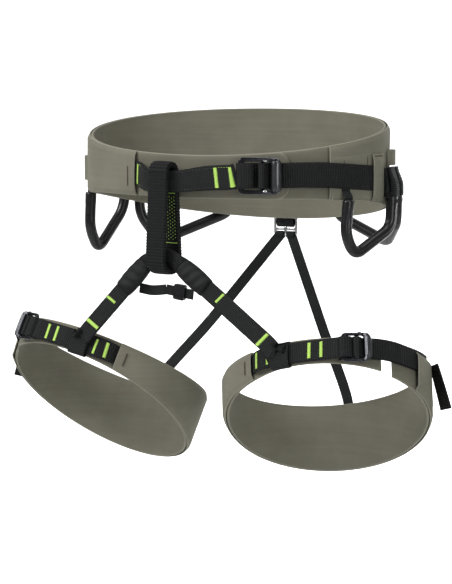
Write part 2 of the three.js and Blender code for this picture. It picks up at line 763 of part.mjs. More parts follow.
function riserPieces(side, flip, legMirror) {
  // Everything is worked out on the wearer's left, with the bridge mirrored for the right.
  const reach = legMirror * 23.2;
  const start = bridgeCentre.clone().add(new THREE.Vector3(reach, bridgeDrift(reach), -11.5));
  start.x *= legMirror;
  const wrapFrame = leg.frame(wrapAngle, legStrapHeight, wrapOffset);
  const wrapCentre = new THREE.Vector3().setFromMatrixPosition(wrapFrame);
  const out = leg.normal(wrapAngle);
  const ring = ringShape(wrapInnerHalf, wrapRadius, -wrapInnerHalf, wrapRadius, wrapThickness, 6);
  // The ring's long way is drawn along z: turn that upwards, and its width along the strap.
  const stand = new THREE.Matrix4().makeBasis(out.clone().negate(), leg.tangent(wrapAngle),
    leg.up).setPosition(wrapCentre);
  const wrap = closed(across(ring, riserWidth + 2).applyMatrix4(stand));
  const wrapFace = wrapRadius + wrapThickness / 2 + riserThickness / 2 - 0.4;
  const end = wrapCentre.clone().addScaledVector(out, wrapFace);
  const run = new THREE.LineCurve3(start, end);
  const way = run.getTangentAt(0);
  const across3 = new THREE.Vector3().crossVectors(out, way).normalize();
  const strap = ribbon(run, across3, riserWidth, riserThickness, 8);
  add(`${side}_riser`, flip(join(strap, wrap)), webbing);

  // Padded sleeve over the upper part of the riser.
  const face = new THREE.Vector3().crossVectors(way, across3).normalize();
  const sleeveFrame = new THREE.Matrix4().makeBasis(across3, face, way)
    .setPosition(start.clone().addScaledVector(way, 0.5));
  const holeHalf = riserWidth / 2 + 0.6;
  const outerHalf = holeHalf + 1.4;
  const outer = roundedRectangle(-outerHalf, -5, outerHalf, 5, 4.9);
  const hole = roundedRectangle(-holeHalf, -2, holeHalf, 2, 0.4);
  outer.holes.push(new THREE.Path(hole.getPoints(2)));
  const sleeve = upright(outer, 0, sleeveLength, 5).applyMatrix4(sleeveFrame);
  add(`${side}_riser_sleeve`, flip(closed(sleeve)), softWebbing);

  // Rear elastic from the hook down to the top of the leg loop's back.
  const hook = waist.at(rearHookAngle, rearHookZ - rearHookHeight / 2, rearHookOffset);
  hook.x *= legMirror;
  const backAngle = legMirror > 0 ? 190 : 185;
  const top = hook.clone().add(new THREE.Vector3(6.1, 0, -8));
  const rim = leg.at(backAngle, leg.top(backAngle) + 4, 3.4);
  const foot = leg.at(backAngle, leg.top(backAngle) - 14, 3.2);
  const middle = top.clone().lerp(rim, 0.55).add(new THREE.Vector3(0, 1, -2));
  const elasticLine = new THREE.CatmullRomCurve3([top, middle, rim, foot], false, 'centripetal');
  const flat = new THREE.Vector3(0, 1, 0).cross(rim.clone().sub(top)).normalize();
  const elastic = ribbon(elasticLine, flat, elasticWidth, elasticThickness, 14);
  add(`${side}_rear_elastic`, flip(elastic), softWebbing);
}

function connector() {
  // It lies behind the risers, a fixed way back from the place where they cross it.
  const crossing = mix(bridgeCentre.y, leg.at(wrapAngle, legStrapHeight, wrapOffset).y,
    connectorShare);
  const behind = crossing + connectorBehind;
  const lowPoint = new THREE.Vector3(-24, behind + 1, -113);
  const rightEnd = new THREE.Vector3(-50.5, behind + 0.4, -112.5);
  const leftEnd = new THREE.Vector3(8, behind, -116.5);
  const sagging = lowPoint.clone().lerp(rightEnd, 0.5).add(new THREE.Vector3(0, 0, -1.5));
  const up = new THREE.Vector3(0, 0, 1);
  const seam = new THREE.Vector3(2.4, 0, 0.4);
  const rightLine = new THREE.CatmullRomCurve3([rightEnd, sagging, lowPoint]);
  add('connector_strap_right', ribbon(rightLine, up, 10, 1.2, 8), softWebbing);
  const leftLine = new THREE.LineCurve3(lowPoint.clone().add(seam), leftEnd);
  add('connector_strap_left', ribbon(leftLine, up, 10, 1.2, 2), softWebbing);
  const at = leftLine.getPointAt(0.5);
  const way = leftLine.getTangentAt(0.5);
  const face = new THREE.Vector3().crossVectors(way, up).normalize();
  const frame = new THREE.Matrix4().makeBasis(way, new THREE.Vector3().crossVectors(face, way), face)
    .setPosition(at);
  const plate = roundedRectangle(-6, -7.5, 6, 7.5, 2);
  const block = upright(plate, -2.2, 2.2, 3);
  const passage = boxAt(-10, 10, -5.5, 5.5, -1.1, 1.1);
  add('connector_slider', closed(cut(block, passage).applyMatrix4(frame)), mouldedPlastic);
}

waistBelt();
waistStraps();
belayLoop();
gearRacking();
rearPieces();
legLoops();
legStraps();
riserPieces('left', (g) => g, 1);
riserPieces('right', mirrored, -1);
connector();

export default group;
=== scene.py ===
# Climbing sit harness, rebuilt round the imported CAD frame. Lengths are in millimetres
# inside the helpers and become metres when a mesh is made.
import math

import bpy
import bmesh
import numpy as np
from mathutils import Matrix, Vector


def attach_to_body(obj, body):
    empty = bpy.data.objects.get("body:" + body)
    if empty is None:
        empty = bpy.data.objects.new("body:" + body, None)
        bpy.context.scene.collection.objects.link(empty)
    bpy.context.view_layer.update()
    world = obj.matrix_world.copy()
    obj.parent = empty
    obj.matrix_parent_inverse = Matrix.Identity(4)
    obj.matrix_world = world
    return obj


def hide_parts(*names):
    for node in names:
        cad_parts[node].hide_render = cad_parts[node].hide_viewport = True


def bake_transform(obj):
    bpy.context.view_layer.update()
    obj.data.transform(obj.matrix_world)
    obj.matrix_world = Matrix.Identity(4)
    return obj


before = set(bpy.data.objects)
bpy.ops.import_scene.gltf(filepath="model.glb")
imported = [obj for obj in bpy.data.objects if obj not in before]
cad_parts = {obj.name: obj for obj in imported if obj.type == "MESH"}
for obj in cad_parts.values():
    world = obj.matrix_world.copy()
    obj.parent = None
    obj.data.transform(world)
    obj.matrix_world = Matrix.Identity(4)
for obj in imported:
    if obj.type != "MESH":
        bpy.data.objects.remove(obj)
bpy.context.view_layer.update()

MM = 0.001


# ---------------------------------------------------------------- camera, light and stage

def rotated_to(direction):
    return Vector(direction).to_track_quat("-Z", "Y").to_euler()


def make_camera():
    azimuth, elevation, distance = math.radians(26.394), math.radians(7.043), 2.2
    back = Vector((math.sin(azimuth) * math.cos(elevation),
                   -math.cos(azimuth) * math.cos(elevation), math.sin(elevation)))
    data = bpy.data.cameras.new("camera")
    data.lens = 135.6
    data.sensor_width = 36
    data.shift_x = -0.01685
    data.shift_y = 0.0428
    data.clip_start = 0.05
    data.clip_end = 60
    camera = bpy.data.objects.new("camera", data)
    camera.location = Vector((0, 0, -0.15)) + back * distance
    camera.rotation_euler = rotated_to(-back)
    bpy.context.collection.objects.link(camera)
    bpy.context.scene.camera = camera


def area_light(name, place, target, size, power):
    data = bpy.data.lights.new(name, "AREA")
    data.shape = "RECTANGLE"
    data.size, data.size_y = size
    data.energy = power
    light = bpy.data.objects.new(name, data)
    light.location = place
    light.rotation_euler = rotated_to(Vector(target) - Vector(place))
    bpy.context.collection.objects.link(light)


def make_stage():
    # One curved sheet: floor in front, wall behind, far enough to stay evenly pale.
    radius, depth, height, half = 3.0, 9.0, 12.0, 16.0
    floor = -1.05
    profile = [(-14.0, floor), (depth - radius, floor)]
    for i in range(1, 13):
        turn = math.pi / 2 * i / 12
        profile.append((depth - radius + radius * math.sin(turn),
                        floor + radius * (1 - math.cos(turn))))
    profile.append((depth, height))
    verts = [(x, y, z) for y, z in profile for x in (-half, half)]
    faces = [(2 * i, 2 * i + 1, 2 * i + 3, 2 * i + 2) for i in range(len(profile) - 1)]
    mesh = bpy.data.meshes.new("studio_sweep")
    mesh.from_pydata(verts, [], faces)
    for polygon in mesh.polygons:
        polygon.use_smooth = True
    sweep = bpy.data.objects.new("studio_sweep", mesh)
    bpy.context.collection.objects.link(sweep)
    paper = Shader("studio_paper", (0.93, 0.93, 0.93), 0.9)
    grain = paper.noise(3.0, 2)
    paper.colour_mix(grain, (0.92, 0.92, 0.92), (0.94, 0.94, 0.94))
    mesh.materials.append(paper.material)


def make_light():
    world = bpy.data.worlds.new("studio")
    world.use_nodes = True
    background = world.node_tree.nodes["Background"]
    background.inputs["Color"].default_value = (1, 1, 1, 1)
    background.inputs["Strength"].default_value = 0.27
    bpy.context.scene.world = world
    area_light("key", (-1.5, -1.8, 1.5), (0, 0, -0.15), (1.5, 1.2), 66)
    area_light("side", (2.0, -1.4, 0.4), (0, 0, -0.1), (0.6, 1.6), 16)
    area_light("top", (0.3, -0.2, 2.2), (0, 0, -0.1), (1.4, 1.4), 20)
    area_light("back_wall", (0, 3.4, 3.4), (0, 9, 0.5), (5, 4), 900)
    bpy.context.scene.view_settings.view_transform = "Standard"


# ---------------------------------------------------------------- materials

class Shader:
    """A Principled material with a few shorthand calls for its procedural detail."""

    def __init__(self, name, colour, roughness, metallic=0.0, sheen=0.0, coat=0.0,
                 specular=0.5):
        self.material = bpy.data.materials.new(name)
        self.material.use_nodes = True
        self.tree = self.material.node_tree
        self.bsdf = self.tree.nodes["Principled BSDF"]
        self.set("Base Color", (*colour, 1))
        self.set("Roughness", roughness)
        self.set("Metallic", metallic)
        self.set("Sheen Weight", sheen)
        self.set("Sheen Roughness", 0.45)
        self.set("Coat Weight", coat)
        self.set("Specular IOR Level", specular)
        self.set("Coat Roughness", 0.12)
        self.height = None

    def set(self, socket, value):
        self.bsdf.inputs[socket].default_value = value

    def node(self, kind, inputs=(), **settings):
        node = self.tree.nodes.new(kind)
        for key, value in settings.items():
            setattr(node, key, value)
        for key, value in dict(inputs).items():
            if isinstance(value, bpy.types.NodeSocket):
                self.tree.links.new(value, node.inputs[key])
            else:
                node.inputs[key].default_value = value
        return node

    def maths(self, operation, a, b=0.0):
        return self.node("ShaderNodeMath", {0: a, 1: b}, operation=operation).outputs[0]

    def uv(self):
        source = self.node("ShaderNodeUVMap", uv_map="place")
        parts = self.node("ShaderNodeSeparateXYZ", {0: source.outputs[0]})
        return parts.outputs[0], parts.outputs[1]

    def noise(self, scale, detail=3, roughness=0.55, stretch=None):
        place = self.node("ShaderNodeTexCoord").outputs["Object"]
        if stretch:
            place = self.node("ShaderNodeMapping", {0: place, "Scale": stretch}).outputs[0]
        noise = self.node("ShaderNodeTexNoise", {
            "Vector": place, "Scale": scale, "Detail": detail, "Roughness": roughness})
        return noise.outputs[0]

    def wave(self, value, pitch, phase=None):
        turns = self.maths("MULTIPLY", value, 2 * math.pi / pitch)
        if phase is not None:
            turns = self.maths("ADD", turns, phase)
        return self.maths("SINE", turns)

    def attribute(self, name):
        return self.node("ShaderNodeAttribute", attribute_name=name).outputs["Fac"]

    def ramp(self, value, low, high, to_low=0.0, to_high=1.0):
        node = self.node("ShaderNodeMapRange", {
            0: value, 1: low, 2: high, 3: to_low, 4: to_high})
        return node.outputs[0]

    def colour_mix(self, factor, first, second):
        node = self.node("ShaderNodeMix", data_type="RGBA")
        self.tree.links.new(factor, node.inputs[0])
        for socket, value in ((node.inputs[6], first), (node.inputs[7], second)):
            if isinstance(value, bpy.types.NodeSocket):
                self.tree.links.new(value, socket)
            else:
                socket.default_value = (*value, 1)
        self.tree.links.new(node.outputs[2], self.bsdf.inputs["Base Color"])
        return node.outputs[2]

    def roughness(self, factor, low, high):
        self.tree.links.new(self.ramp(factor, 0, 1, low, high), self.bsdf.inputs["Roughness"])

    def bump(self, height, distance, strength=1.0):
        inputs = {"Height": height, "Distance": distance, "Strength": strength}
        if self.height is not None:
            inputs["Normal"] = self.height
        self.height = self.node("ShaderNodeBump", inputs).outputs[0]
        self.tree.links.new(self.height, self.bsdf.inputs["Normal"])


def laminate_material(name, dark, light, rim):
    """Matt woven softshell: fine plain weave, faint streaks and a painted highlight along its rounded
    edges.
    """
    shader = Shader(name, light, 0.82, sheen=0.04, specular=0.25)
    along, over = shader.uv()
    weave = shader.maths("MULTIPLY", shader.wave(along, 0.9 * MM), shader.wave(over, 0.9 * MM))
    clouds = shader.noise(26, 5, 0.6)
    streaks = shader.noise(9, 4, 0.7, (1, 1, 30))
    blend = shader.maths("ADD", shader.maths("MULTIPLY", clouds, 0.6),
                         shader.maths("MULTIPLY", streaks, 0.4))
    base = shader.colour_mix(shader.ramp(blend, 0.35, 0.65), dark, light)
    # The rim colour is a painted highlight, laid on the rounded edges and ends that the rim attribute
    # marks.
    edge = shader.ramp(shader.attribute("rim"), 0.2, 0.9)
    shader.colour_mix(shader.maths("MULTIPLY", edge, 0.55), base, rim)
    shader.roughness(shader.ramp(weave, -1, 1), 0.76, 0.9)
    shader.bump(weave, 0.05 * MM, 0.6)
    shader.bump(shader.noise(240, 3, 0.6), 0.25 * MM, 0.35)
    shader.bump(clouds, 1.2 * MM, 0.25)
    return shader.material


def webbing_material(name, pitch, cross_pitch, dark=(0.0025, 0.0028, 0.003),
                     light=(0.016, 0.017, 0.0175), depth=0.35):
    """Black nylon webbing: rounded picks across the strap and fine warp yarns along it."""
    shader = Shader(name, light, 0.62, specular=0.14)
    along, over = shader.uv()
    shift = shader.maths("MULTIPLY", shader.wave(over, 2 * cross_pitch * MM), 0.35)
    picks = shader.wave(along, pitch * MM, shift)
    yarns = shader.wave(over, cross_pitch * MM)
    fuzz = shader.noise(900, 2, 0.6)
    height = shader.maths("ADD", shader.maths("MULTIPLY", picks, 0.6),
                          shader.maths("MULTIPLY", yarns, 0.4))
    # The colour is painted shade in the weave's hollows and painted highlight on its raised picks and
    # yarns, with random fuzz in tone.
    shade = shader.maths("ADD", shader.ramp(height, -1, 1, 0.0, 0.75),
                         shader.maths("MULTIPLY", fuzz, 0.3))
    shader.colour_mix(shade, dark, light)
    shader.roughness(shade, 0.74, 0.5)
    shader.bump(height, depth * MM, 0.75)
    shader.bump(fuzz, 0.12 * MM, 0.4)
    return shader.material


def soft_cloth_material(name):
    """Plain black woven cloth of the padded sleeves and narrow tapes."""
    shader = Shader(name, (0.010, 0.011, 0.012), 0.55, specular=0.2)
    along, over = shader.uv()
    weave = shader.maths("MULTIPLY", shader.wave(along, 1.1 * MM), shader.wave(over, 1.1 * MM))
    clouds = shader.noise(60, 4, 0.6)
    shader.colour_mix(shader.ramp(clouds, 0.3, 0.7), (0.0035, 0.004, 0.0042),
                      (0.009, 0.0098, 0.0105))
    shader.roughness(clouds, 0.42, 0.62)
    shader.bump(weave, 0.12 * MM, 0.6)
    shader.bump(clouds, 0.8 * MM, 0.3)
    return shader.material


def thread_material(name, dark, light):
    shader = Shader(name, light, 0.42, sheen=0.1)
    ply = shader.noise(1400, 2, 0.5)
    shader.colour_mix(shader.ramp(ply, 0.35, 0.65), dark, light)
    shader.roughness(ply, 0.35, 0.6)
    shader.bump(ply, 0.1 * MM, 0.5)
    return shader.material


def moulded_material(name):
    """Glossy black moulded plastic, with scuffs where gear rubs."""
    shader = Shader(name, (0.010, 0.010, 0.012), 0.26, coat=0.12, specular=0.35)
    clouds = shader.noise(90, 5, 0.65)
    scuffs = shader.noise(35, 6, 0.75, (1, 1, 4))
    shader.colour_mix(shader.ramp(clouds, 0.4, 0.75), (0.0035, 0.0035, 0.0045),
                      (0.010, 0.010, 0.012))
    shader.roughness(shader.ramp(scuffs, 0.35, 0.7), 0.26, 0.38)
    shader.bump(shader.noise(220, 2, 0.5), 0.03 * MM, 0.2)
    return shader.material


def alloy_material(name, dark, light, smooth, rough, coat=0.0):
    """Anodised or brushed metal: fine grinding lines and cloudy changes in tone."""
    shader = Shader(name, light, smooth, metallic=1.0, coat=coat)
    lines = shader.noise(260, 4, 0.7, (1, 14, 14))
    clouds = shader.noise(70, 4, 0.6)
    shader.colour_mix(shader.ramp(clouds, 0.35, 0.75), dark, light)
    shader.roughness(shader.ramp(lines, 0.3, 0.7), smooth, rough)
    shader.bump(lines, 0.05 * MM, 0.3)
    return shader.material


# ---------------------------------------------------------------- the two curved bands

def unit(v):
    return v / np.linalg.norm(v, axis=-1, keepdims=True)


def smooth(low, high, value):
    t = np.clip((np.asarray(value, float) - low) / (high - low), 0, 1)
    return t * t * (3 - 2 * t)


class Band:
    """An upright band on an ellipse; angles run from the wearer's front, in degrees."""

    def __init__(self, centre, side, back, up, half_width, half_depth, top, bottom):
        self.centre, self.side, self.back, self.up = (
            np.array(v, float) for v in (centre, side, back, up))
        self.half_width, self.half_depth = half_width, half_depth
        self.top, self.bottom = top, bottom

    def _turn(self, angle):
        a = np.radians(np.asarray(angle, float))
        return np.sin(a)[..., None], np.cos(a)[..., None]

    def normal(self, angle):
        s, c = self._turn(angle)
        return unit(self.side * s / self.half_width - self.back * c / self.half_depth)

    def tangent(self, angle):
        s, c = self._turn(angle)
        return unit(self.side * self.half_width * c + self.back * self.half_depth * s)

    def at(self, angle, height, offset):
        s, c = self._turn(angle)
        height = np.asarray(height, float)[..., None]
        offset = np.asarray(offset, float)[..., None]
        return (self.centre + self.side * self.half_width * s - self.back * self.half_depth * c
                + self.up * height + self.normal(angle) * offset)

    def pace(self, angle):
        a = np.radians(angle)
        return math.radians(1) * np.hypot(self.half_width * np.cos(a),
                                          self.half_depth * np.sin(a))

    def locate(self, point, guess):
        angle = float(guess)
        for _ in range(12):
            angle += float((point - self.at(angle, 0, 0)) @ self.tangent(angle)
                           / self.pace(angle))
        return angle, float((point - self.at(angle, 0, 0)) @ self.normal(angle))


def edge(mean, cosine, sine, cosine2):
    def height(angle):
        a = np.radians(angle)
        return mean + cosine * np.cos(a) + sine * np.sin(a) + cosine2 * np.cos(2 * a)
    return height


waist = Band((0, 0, 0), (1, 0, 0), (0, 1, 0), (0, 0, 1), 159.6, 99.7,
             edge(36.95, -19.53, 0, -1.09), edge(-36.29, 16.22, 0, -4.86))
leg_up = unit(np.array([-0.209, 0.3652, 0.9072]))
leg_side = unit(np.array([leg_up[2], 0, -leg_up[0]]))
leg = Band((119.6, -46, -211.1), leg_side, np.cross(leg_up, leg_side), leg_up, 104.3, 84.2,
           edge(18.72, 9.91, 0.79, 0), edge(-27.21, 31.13, 4.19, 0))

# Thickness of the shell, of the pocket behind it, of the lining and of one layer of webbing.
SHELL = 1.3
POCKET = 2.2
LINER = 2.4
WEBBING = 1.5
# Offset of the lining's outer face from the shell's.
LINER_FACE = -SHELL - POCKET


# ---------------------------------------------------------------- mesh making

def run_along(points):
    """How far along the line through the points each one lies."""
    return np.concatenate([[0], np.cumsum(np.linalg.norm(np.diff(points, axis=0), axis=1))])


def piece(name, verts, faces, uvs, material, body, slot, replaces=(), flip=False, rim=None):
    """Makes one object from points in millimetres; flip mirrors it to the wearer's right.

    body is a body's name, or for a piece that crosses a joint two bodies and the two points that it
    bends between, in millimetres and not yet mirrored; such a piece is only baked in place, with no
    body and no bend.
    """
    mirror = np.array([-1 if flip else 1, 1, 1])
    points = np.array(verts, float) * MM * mirror
    mesh = bpy.data.meshes.new(name)
    mesh.from_pydata(points.tolist(), [], [list(map(int, f)) for f in faces])
    layer = mesh.uv_layers.new(name="place")
    order = np.zeros(len(mesh.loops), int)
    mesh.loops.foreach_get("vertex_index", order)
    layer.data.foreach_set("uv", (np.array(uvs, float)[order] * MM).astype(np.float32).ravel())
    # rim marks, per point, where a laminate's painted edge highlight is laid.
    if rim is not None:
        attribute = mesh.attributes.new("rim", "FLOAT", "POINT")
        attribute.data.foreach_set("value", np.array(rim, np.float32))
    work = bmesh.new()
    work.from_mesh(mesh)
    bmesh.ops.recalc_face_normals(work, faces=work.faces)
    work.to_mesh(mesh)
    work.free()
    mesh.materials.append(material)
    for polygon in mesh.polygons:
        polygon.use_smooth = True
    obj = bpy.data.objects.new(name, mesh)
    bpy.context.collection.objects.link(obj)
    if isinstance(body, tuple):
        body = (*body[:2], *(point * MM * mirror for point in body[2:]))
        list(body)
        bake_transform(obj)
    else:
        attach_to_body(obj, body)
    if replaces:
        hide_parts(*replaces)
    return obj


def grid(points, uvs, rims=None, closed=False):
    """Rings of points joined into a tube; open ends are closed with a flat face."""
    rings, count = points.shape[:2]
    faces = []
    for i in range(rings if closed else rings - 1):
        j = (i + 1) % rings
        for k in range(count):
            m = (k + 1) % count
            faces.append((i * count + k, i * count + m, j * count + m, j * count + k))
    if not closed:
        faces.append(tuple(range(count)))
        faces.append(tuple((rings - 1) * count + k for k in range(count)))
    flat_rims = None if rims is None else rims.reshape(-1)
    return points.reshape(-1, 3), faces, uvs.reshape(-1, 2), flat_rims


class Soup:
    """Several small closed forms gathered into one mesh."""

    def __init__(self):
        self.verts, self.faces, self.uvs = [], [], []

    def add(self, verts, faces, uvs):
        start = sum(len(v) for v in self.verts)
        self.verts.append(np.asarray(verts))
        self.uvs.append(np.asarray(uvs))
        self.faces += [tuple(i + start for i in f) for f in faces]

    def piece(self, name, *rest, **more):
        return piece(name, np.concatenate(self.verts), self.faces, np.concatenate(self.uvs),
                     *rest, **more)


def through(points, steps=24):
    """A dense smooth line through the given rows (centripetal Catmull-Rom)."""
    p = np.array(points, float)
    ends = np.vstack([2 * p[0] - p[1], p, 2 * p[-1] - p[-2]])
    out = []
    for i in range(1, len(ends) - 2):
        a, b, c, d = ends[i - 1:i + 3]
        knots = [0.0]
        for one, two in ((a, b), (b, c), (c, d)):
            knots.append(knots[-1] + max(np.linalg.norm((two - one)[:3]), 1e-6) ** 0.5)
        t0, t1, t2, t3 = knots
        for t in np.linspace(t1, t2, steps, endpoint=False):
            a1 = (t1 - t) / (t1 - t0) * a + (t - t0) / (t1 - t0) * b
            a2 = (t2 - t) / (t2 - t1) * b + (t - t1) / (t2 - t1) * c
            a3 = (t3 - t) / (t3 - t2) * c + (t - t2) / (t3 - t2) * d
            b1 = (t2 - t) / (t2 - t0) * a1 + (t - t0) / (t2 - t0) * a2
            b2 = (t3 - t) / (t3 - t1) * a2 + (t - t1) / (t3 - t1) * a3
            out.append((t2 - t) / (t2 - t1) * b1 + (t - t1) / (t2 - t1) * b2)
    out.append(p[-1])
    return np.array(out)


class Path:
    """A strap's middle line. Rows: x, y, z, width, thickness, then the way its width points."""

    def __init__(self, rows, closed=False):
        self.rows = np.array(rows, float)
        self.closed = closed
        self.s = run_along(self.rows[:, :3])
        self.length = self.s[-1]
        way = np.gradient(self.rows[:, :3], self.s, axis=0)
        if closed:
            way[0] = way[-1] = self.rows[1, :3] - self.rows[-2, :3]
        self.way = unit(way)

    def column(self, s, values):
        return np.stack([np.interp(s, self.s, values[:, k]) for k in range(values.shape[1])], -1)

    def frame(self, s):
        row = self.column(s, self.rows)
        way = unit(self.column(s, self.way))
        normal = unit(np.cross(way, row[..., 5:8]))
        return row[..., :3], way, np.cross(normal, way), normal, row[..., 3], row[..., 4]

    def place(self, s, y, z):
        """s along, y across and z above the top face of the strap, in millimetres."""
        s = np.asarray(s, float)
        middle, _, across, normal, _, thickness = self.frame(s)
        y = np.asarray(y, float)[..., None]
        z = np.asarray(z, float)[..., None] + thickness[..., None] / 2
        return middle + across * y + normal * z


def band_path(surface, width, stations):
    """A path along a band from rows of angle, height and offset, and where they differ from
    one layer of its own webbing, width and thickness."""
    own = (width, WEBBING)
    rows = through([(*row, *own[len(row) - 3:]) for row in stations], 14)
    points = surface.at(rows[:, 0], rows[:, 1], rows[:, 2])
    up = np.repeat(surface.up[None], len(rows), 0)
    return Path(np.hstack([points, rows[:, 3:5], up]))


def space_path(points, width, thickness, way, steps=24):
    line = through(points, steps)
    count = len(line)
    ways = np.repeat(np.array(way, float)[None], count, 0)
    return Path(np.hstack([line, np.full((count, 1), width), np.full((count, 1), thickness),
                           ways]))


def section(layers, flats):
    """Outline of webbing: columns are share of width, share of edge roundness, height."""
    rows = [(a, 0.0, 1.0) for a in np.linspace(-1, 1, flats)]
    turns = np.radians(np.linspace(90, -90, 5 if layers == 1 else 4))
    side = []
    for layer in range(layers):
        middle = 0.0 if layers == 1 else 0.5 - layer
        side += [(math.cos(t), middle + math.sin(t) / layers) for t in turns]
    side = side[1:-1]
    rows += [(1.0, *point) for point in side]
    rows += [(a, 0.0, -1.0) for a in np.linspace(1, -1, flats)]
    rows += [(-1.0, *point) for point in side[::-1]]
    return np.array(rows)


def strap(name, path, material, body, slot, replaces=(), layers=1, rib=(0, 0), step=1.5,
          flip=False, crown=0.0, flats=9, start=0.0):
    """Webbing with rounded edges and, where rib is given, real cross ribs (pitch, depth)."""
    pitch, depth = rib
    gap = pitch / 5 if pitch else step
    count = max(int(math.ceil((path.length - start) / gap)), 2)
    s = np.linspace(start, path.length, count + 1)
    if path.closed:
        s = s[:-1]
    middle, _, across, normal, width, thickness = path.frame(s)
    shape = section(layers, flats)
    share, round_, high = (shape[:, k][None] for k in range(3))
    half = thickness[:, None] / 2
    radius = half / layers
    dip = 0.0
    if pitch:
        dip = depth * (0.5 - 0.5 * np.cos(2 * math.pi * s / pitch))[:, None]
    y = share * (width[:, None] / 2 - radius) + np.sign(share) * round_ * (radius - dip * 0.6)
    z = high * half - np.sign(high) * dip * (np.abs(high) > 0.5)
    z = z + crown * (1 - share ** 2) * (high > 0.99)
    points = (middle[:, None] + across[:, None] * y[..., None] + normal[:, None] * z[..., None])
    uvs = np.stack([np.broadcast_to(s[:, None], y.shape), y], -1)
    verts, faces, uvs, _ = grid(points, uvs, closed=path.closed)
    return piece(name, verts, faces, uvs, material, body, slot, replaces, flip)


def band_sheet(name, surface, angles, outer, thickness, material, body, slot, replaces=(),
               low=None, high=None, rows=26, flip=False):
    """A curved laminate: outer(angle, height, low, high) gives its outer face's offset."""
    low, high = low or surface.bottom, high or surface.top
    a = np.asarray(angles, float)[:, None]
    bottom, top = low(a), high(a)
    radius = thickness / 2
    turns = np.radians([65, 35, 0, -35, -65])
    spread = (1 - np.cos(np.linspace(0, math.pi, rows))) / 2
    spread = 0.45 * spread + 0.55 * np.linspace(0, 1, rows)
    flat = [bottom + radius + v * (top - bottom - 2 * radius) for v in spread]
    heights = (flat + [top - radius + radius * math.cos(t) for t in turns] + flat[::-1]
               + [bottom + radius - radius * math.cos(t) for t in turns[::-1]])
    sides = [1.0] * rows + list(np.sin(turns)) + [-1.0] * rows + list(np.sin(turns[::-1]))
    # rims marks the rounded top and bottom edges, and rim below marks both ends too, where the
    # laminate gets its painted highlight.
    rims = ([0.0] * rows + [1.0] * len(turns)) * 2
    heights = np.hstack([np.broadcast_to(h, a.shape) for h in heights])
    sides = np.array(sides)[None]
    face = outer(np.broadcast_to(a, heights.shape), heights, bottom, top)
    offset = face - radius + sides * radius
    points = surface.at(np.broadcast_to(a, heights.shape), heights, offset)
    run = np.concatenate([[0], np.cumsum(np.diff(a[:, 0]) * surface.pace(a[1:, 0]))])
    uvs = np.stack([np.broadcast_to(run[:, None], heights.shape), heights], -1)
    rim = np.broadcast_to(np.array(rims)[None], heights.shape).copy()
    rim[0] = rim[-1] = 1.0
    verts, faces, uvs, rim = grid(points, uvs, rim)
    return piece(name, verts, faces, uvs, material, body, slot, replaces, flip, rim)


def tube(points, radius, ways, groove):
    """Rings of a round tube along dense points; ways gives the direction its groove faces."""
    way = unit(np.gradient(points, axis=0))
    normal = unit(ways - way * np.sum(ways * way, -1, keepdims=True))
    side = np.cross(way, normal)
    sides = 32
    turn = np.linspace(0, 2 * math.pi, sides, endpoint=False)
    size = np.broadcast_to(np.asarray(radius, float).reshape(-1, 1), (len(points), sides)).copy()
    away = np.abs((turn + math.pi) % (2 * math.pi) - math.pi)
    size -= groove[:, None] * np.exp(-(away / 0.2) ** 2)[None]
    rings = (points[:, None] + normal[:, None] * (size * np.cos(turn))[..., None]
             + side[:, None] * (size * np.sin(turn))[..., None])
    uvs = np.stack([np.broadcast_to(run_along(points)[:, None], size.shape),
                    np.broadcast_to((turn * np.mean(radius))[None], size.shape)], -1)
    return grid(rings, uvs)[:3]


# ---------------------------------------------------------------- stitching

def thread(soup, points, radius):
    """One visible stitch: a short soft-ended run of thread through the points."""
    points = np.array(points, float)
    way = unit(np.gradient(points, axis=0))
    helper = np.array([0.31, 0.22, 0.92])
    side = unit(np.cross(way, helper))
    other = np.cross(way, side)
    turn = np.linspace(0, 2 * math.pi, 6, endpoint=False)
    share = np.linspace(-1, 1, len(points))
    size = radius * np.sqrt(np.clip(1 - share ** 4, 0.02, 1))
    rings = (points[:, None] + side[:, None] * (size[:, None] * np.cos(turn))[..., None]
             + other[:, None] * (size[:, None] * np.sin(turn))[..., None])
    uvs = np.zeros(rings.shape[:2] + (2,))
    soup.add(*grid(rings, uvs)[:3])


TACK_PITCH = 0.62


def bartack(soup, place, s, y0, y1, width=2.6, lean=0.0, lift=0.15):
    """A block of satin stitches standing across a strap from y0 to y1."""
    count = max(int(abs(y1 - y0) / TACK_PITCH), 3)
    for i in range(count):
        y = y0 + (y1 - y0) * (i + 0.5) / count
        middle = s + lean * (y - (y0 + y1) / 2)
        shift = 0.16 * (-1) ** i
        reach = np.linspace(-0.5, 0.5, 5) * width + shift
        rise = lift + 0.18 * np.cos(np.linspace(-1.4, 1.4, 5))
        thread(soup, place(middle + reach, np.full(5, y) + reach * 0.08, rise), 0.4)


def stitches(soup, place, ends, length=2.3, gap=1.0, radius=0.28, lift=0.12):
    """Running stitches along straight lines between (s, y) ends."""
    for (s0, y0), (s1, y1) in zip(ends, ends[1:]):
        run = math.hypot(s1 - s0, y1 - y0)
        count = max(int(run / (length + gap)), 1)
        for i in range(count):
            a = (i + gap / (2 * (length + gap))) / count
            b = a + length / (length + gap) / count
            t = np.linspace(a, b, 5)
            rise = lift + 0.12 * np.cos(np.linspace(-1.4, 1.4, 5))
            thread(soup, place(s0 + (s1 - s0) * t, y0 + (y1 - y0) * t, rise), radius)


def on_band(surface, offset):
    """Stitching place on a band: s is the angle's arc from zero, y the height."""
    angles = np.linspace(-420, 420, 4201)
    arc = np.concatenate([[0], np.cumsum(np.diff(angles) * surface.pace(angles[1:]))])
    arc -= np.interp(0, angles, arc)

    def place(s, y, z):
        angle = np.interp(s, arc, angles)
        return surface.at(angle, y, offset + np.asarray(z, float))

    def arc_at(angle):
        return float(np.interp(angle, angles, arc))
    return place, arc_at


# ---------------------------------------------------------------- make the stage and finishes

make_camera()
make_light()
make_stage()
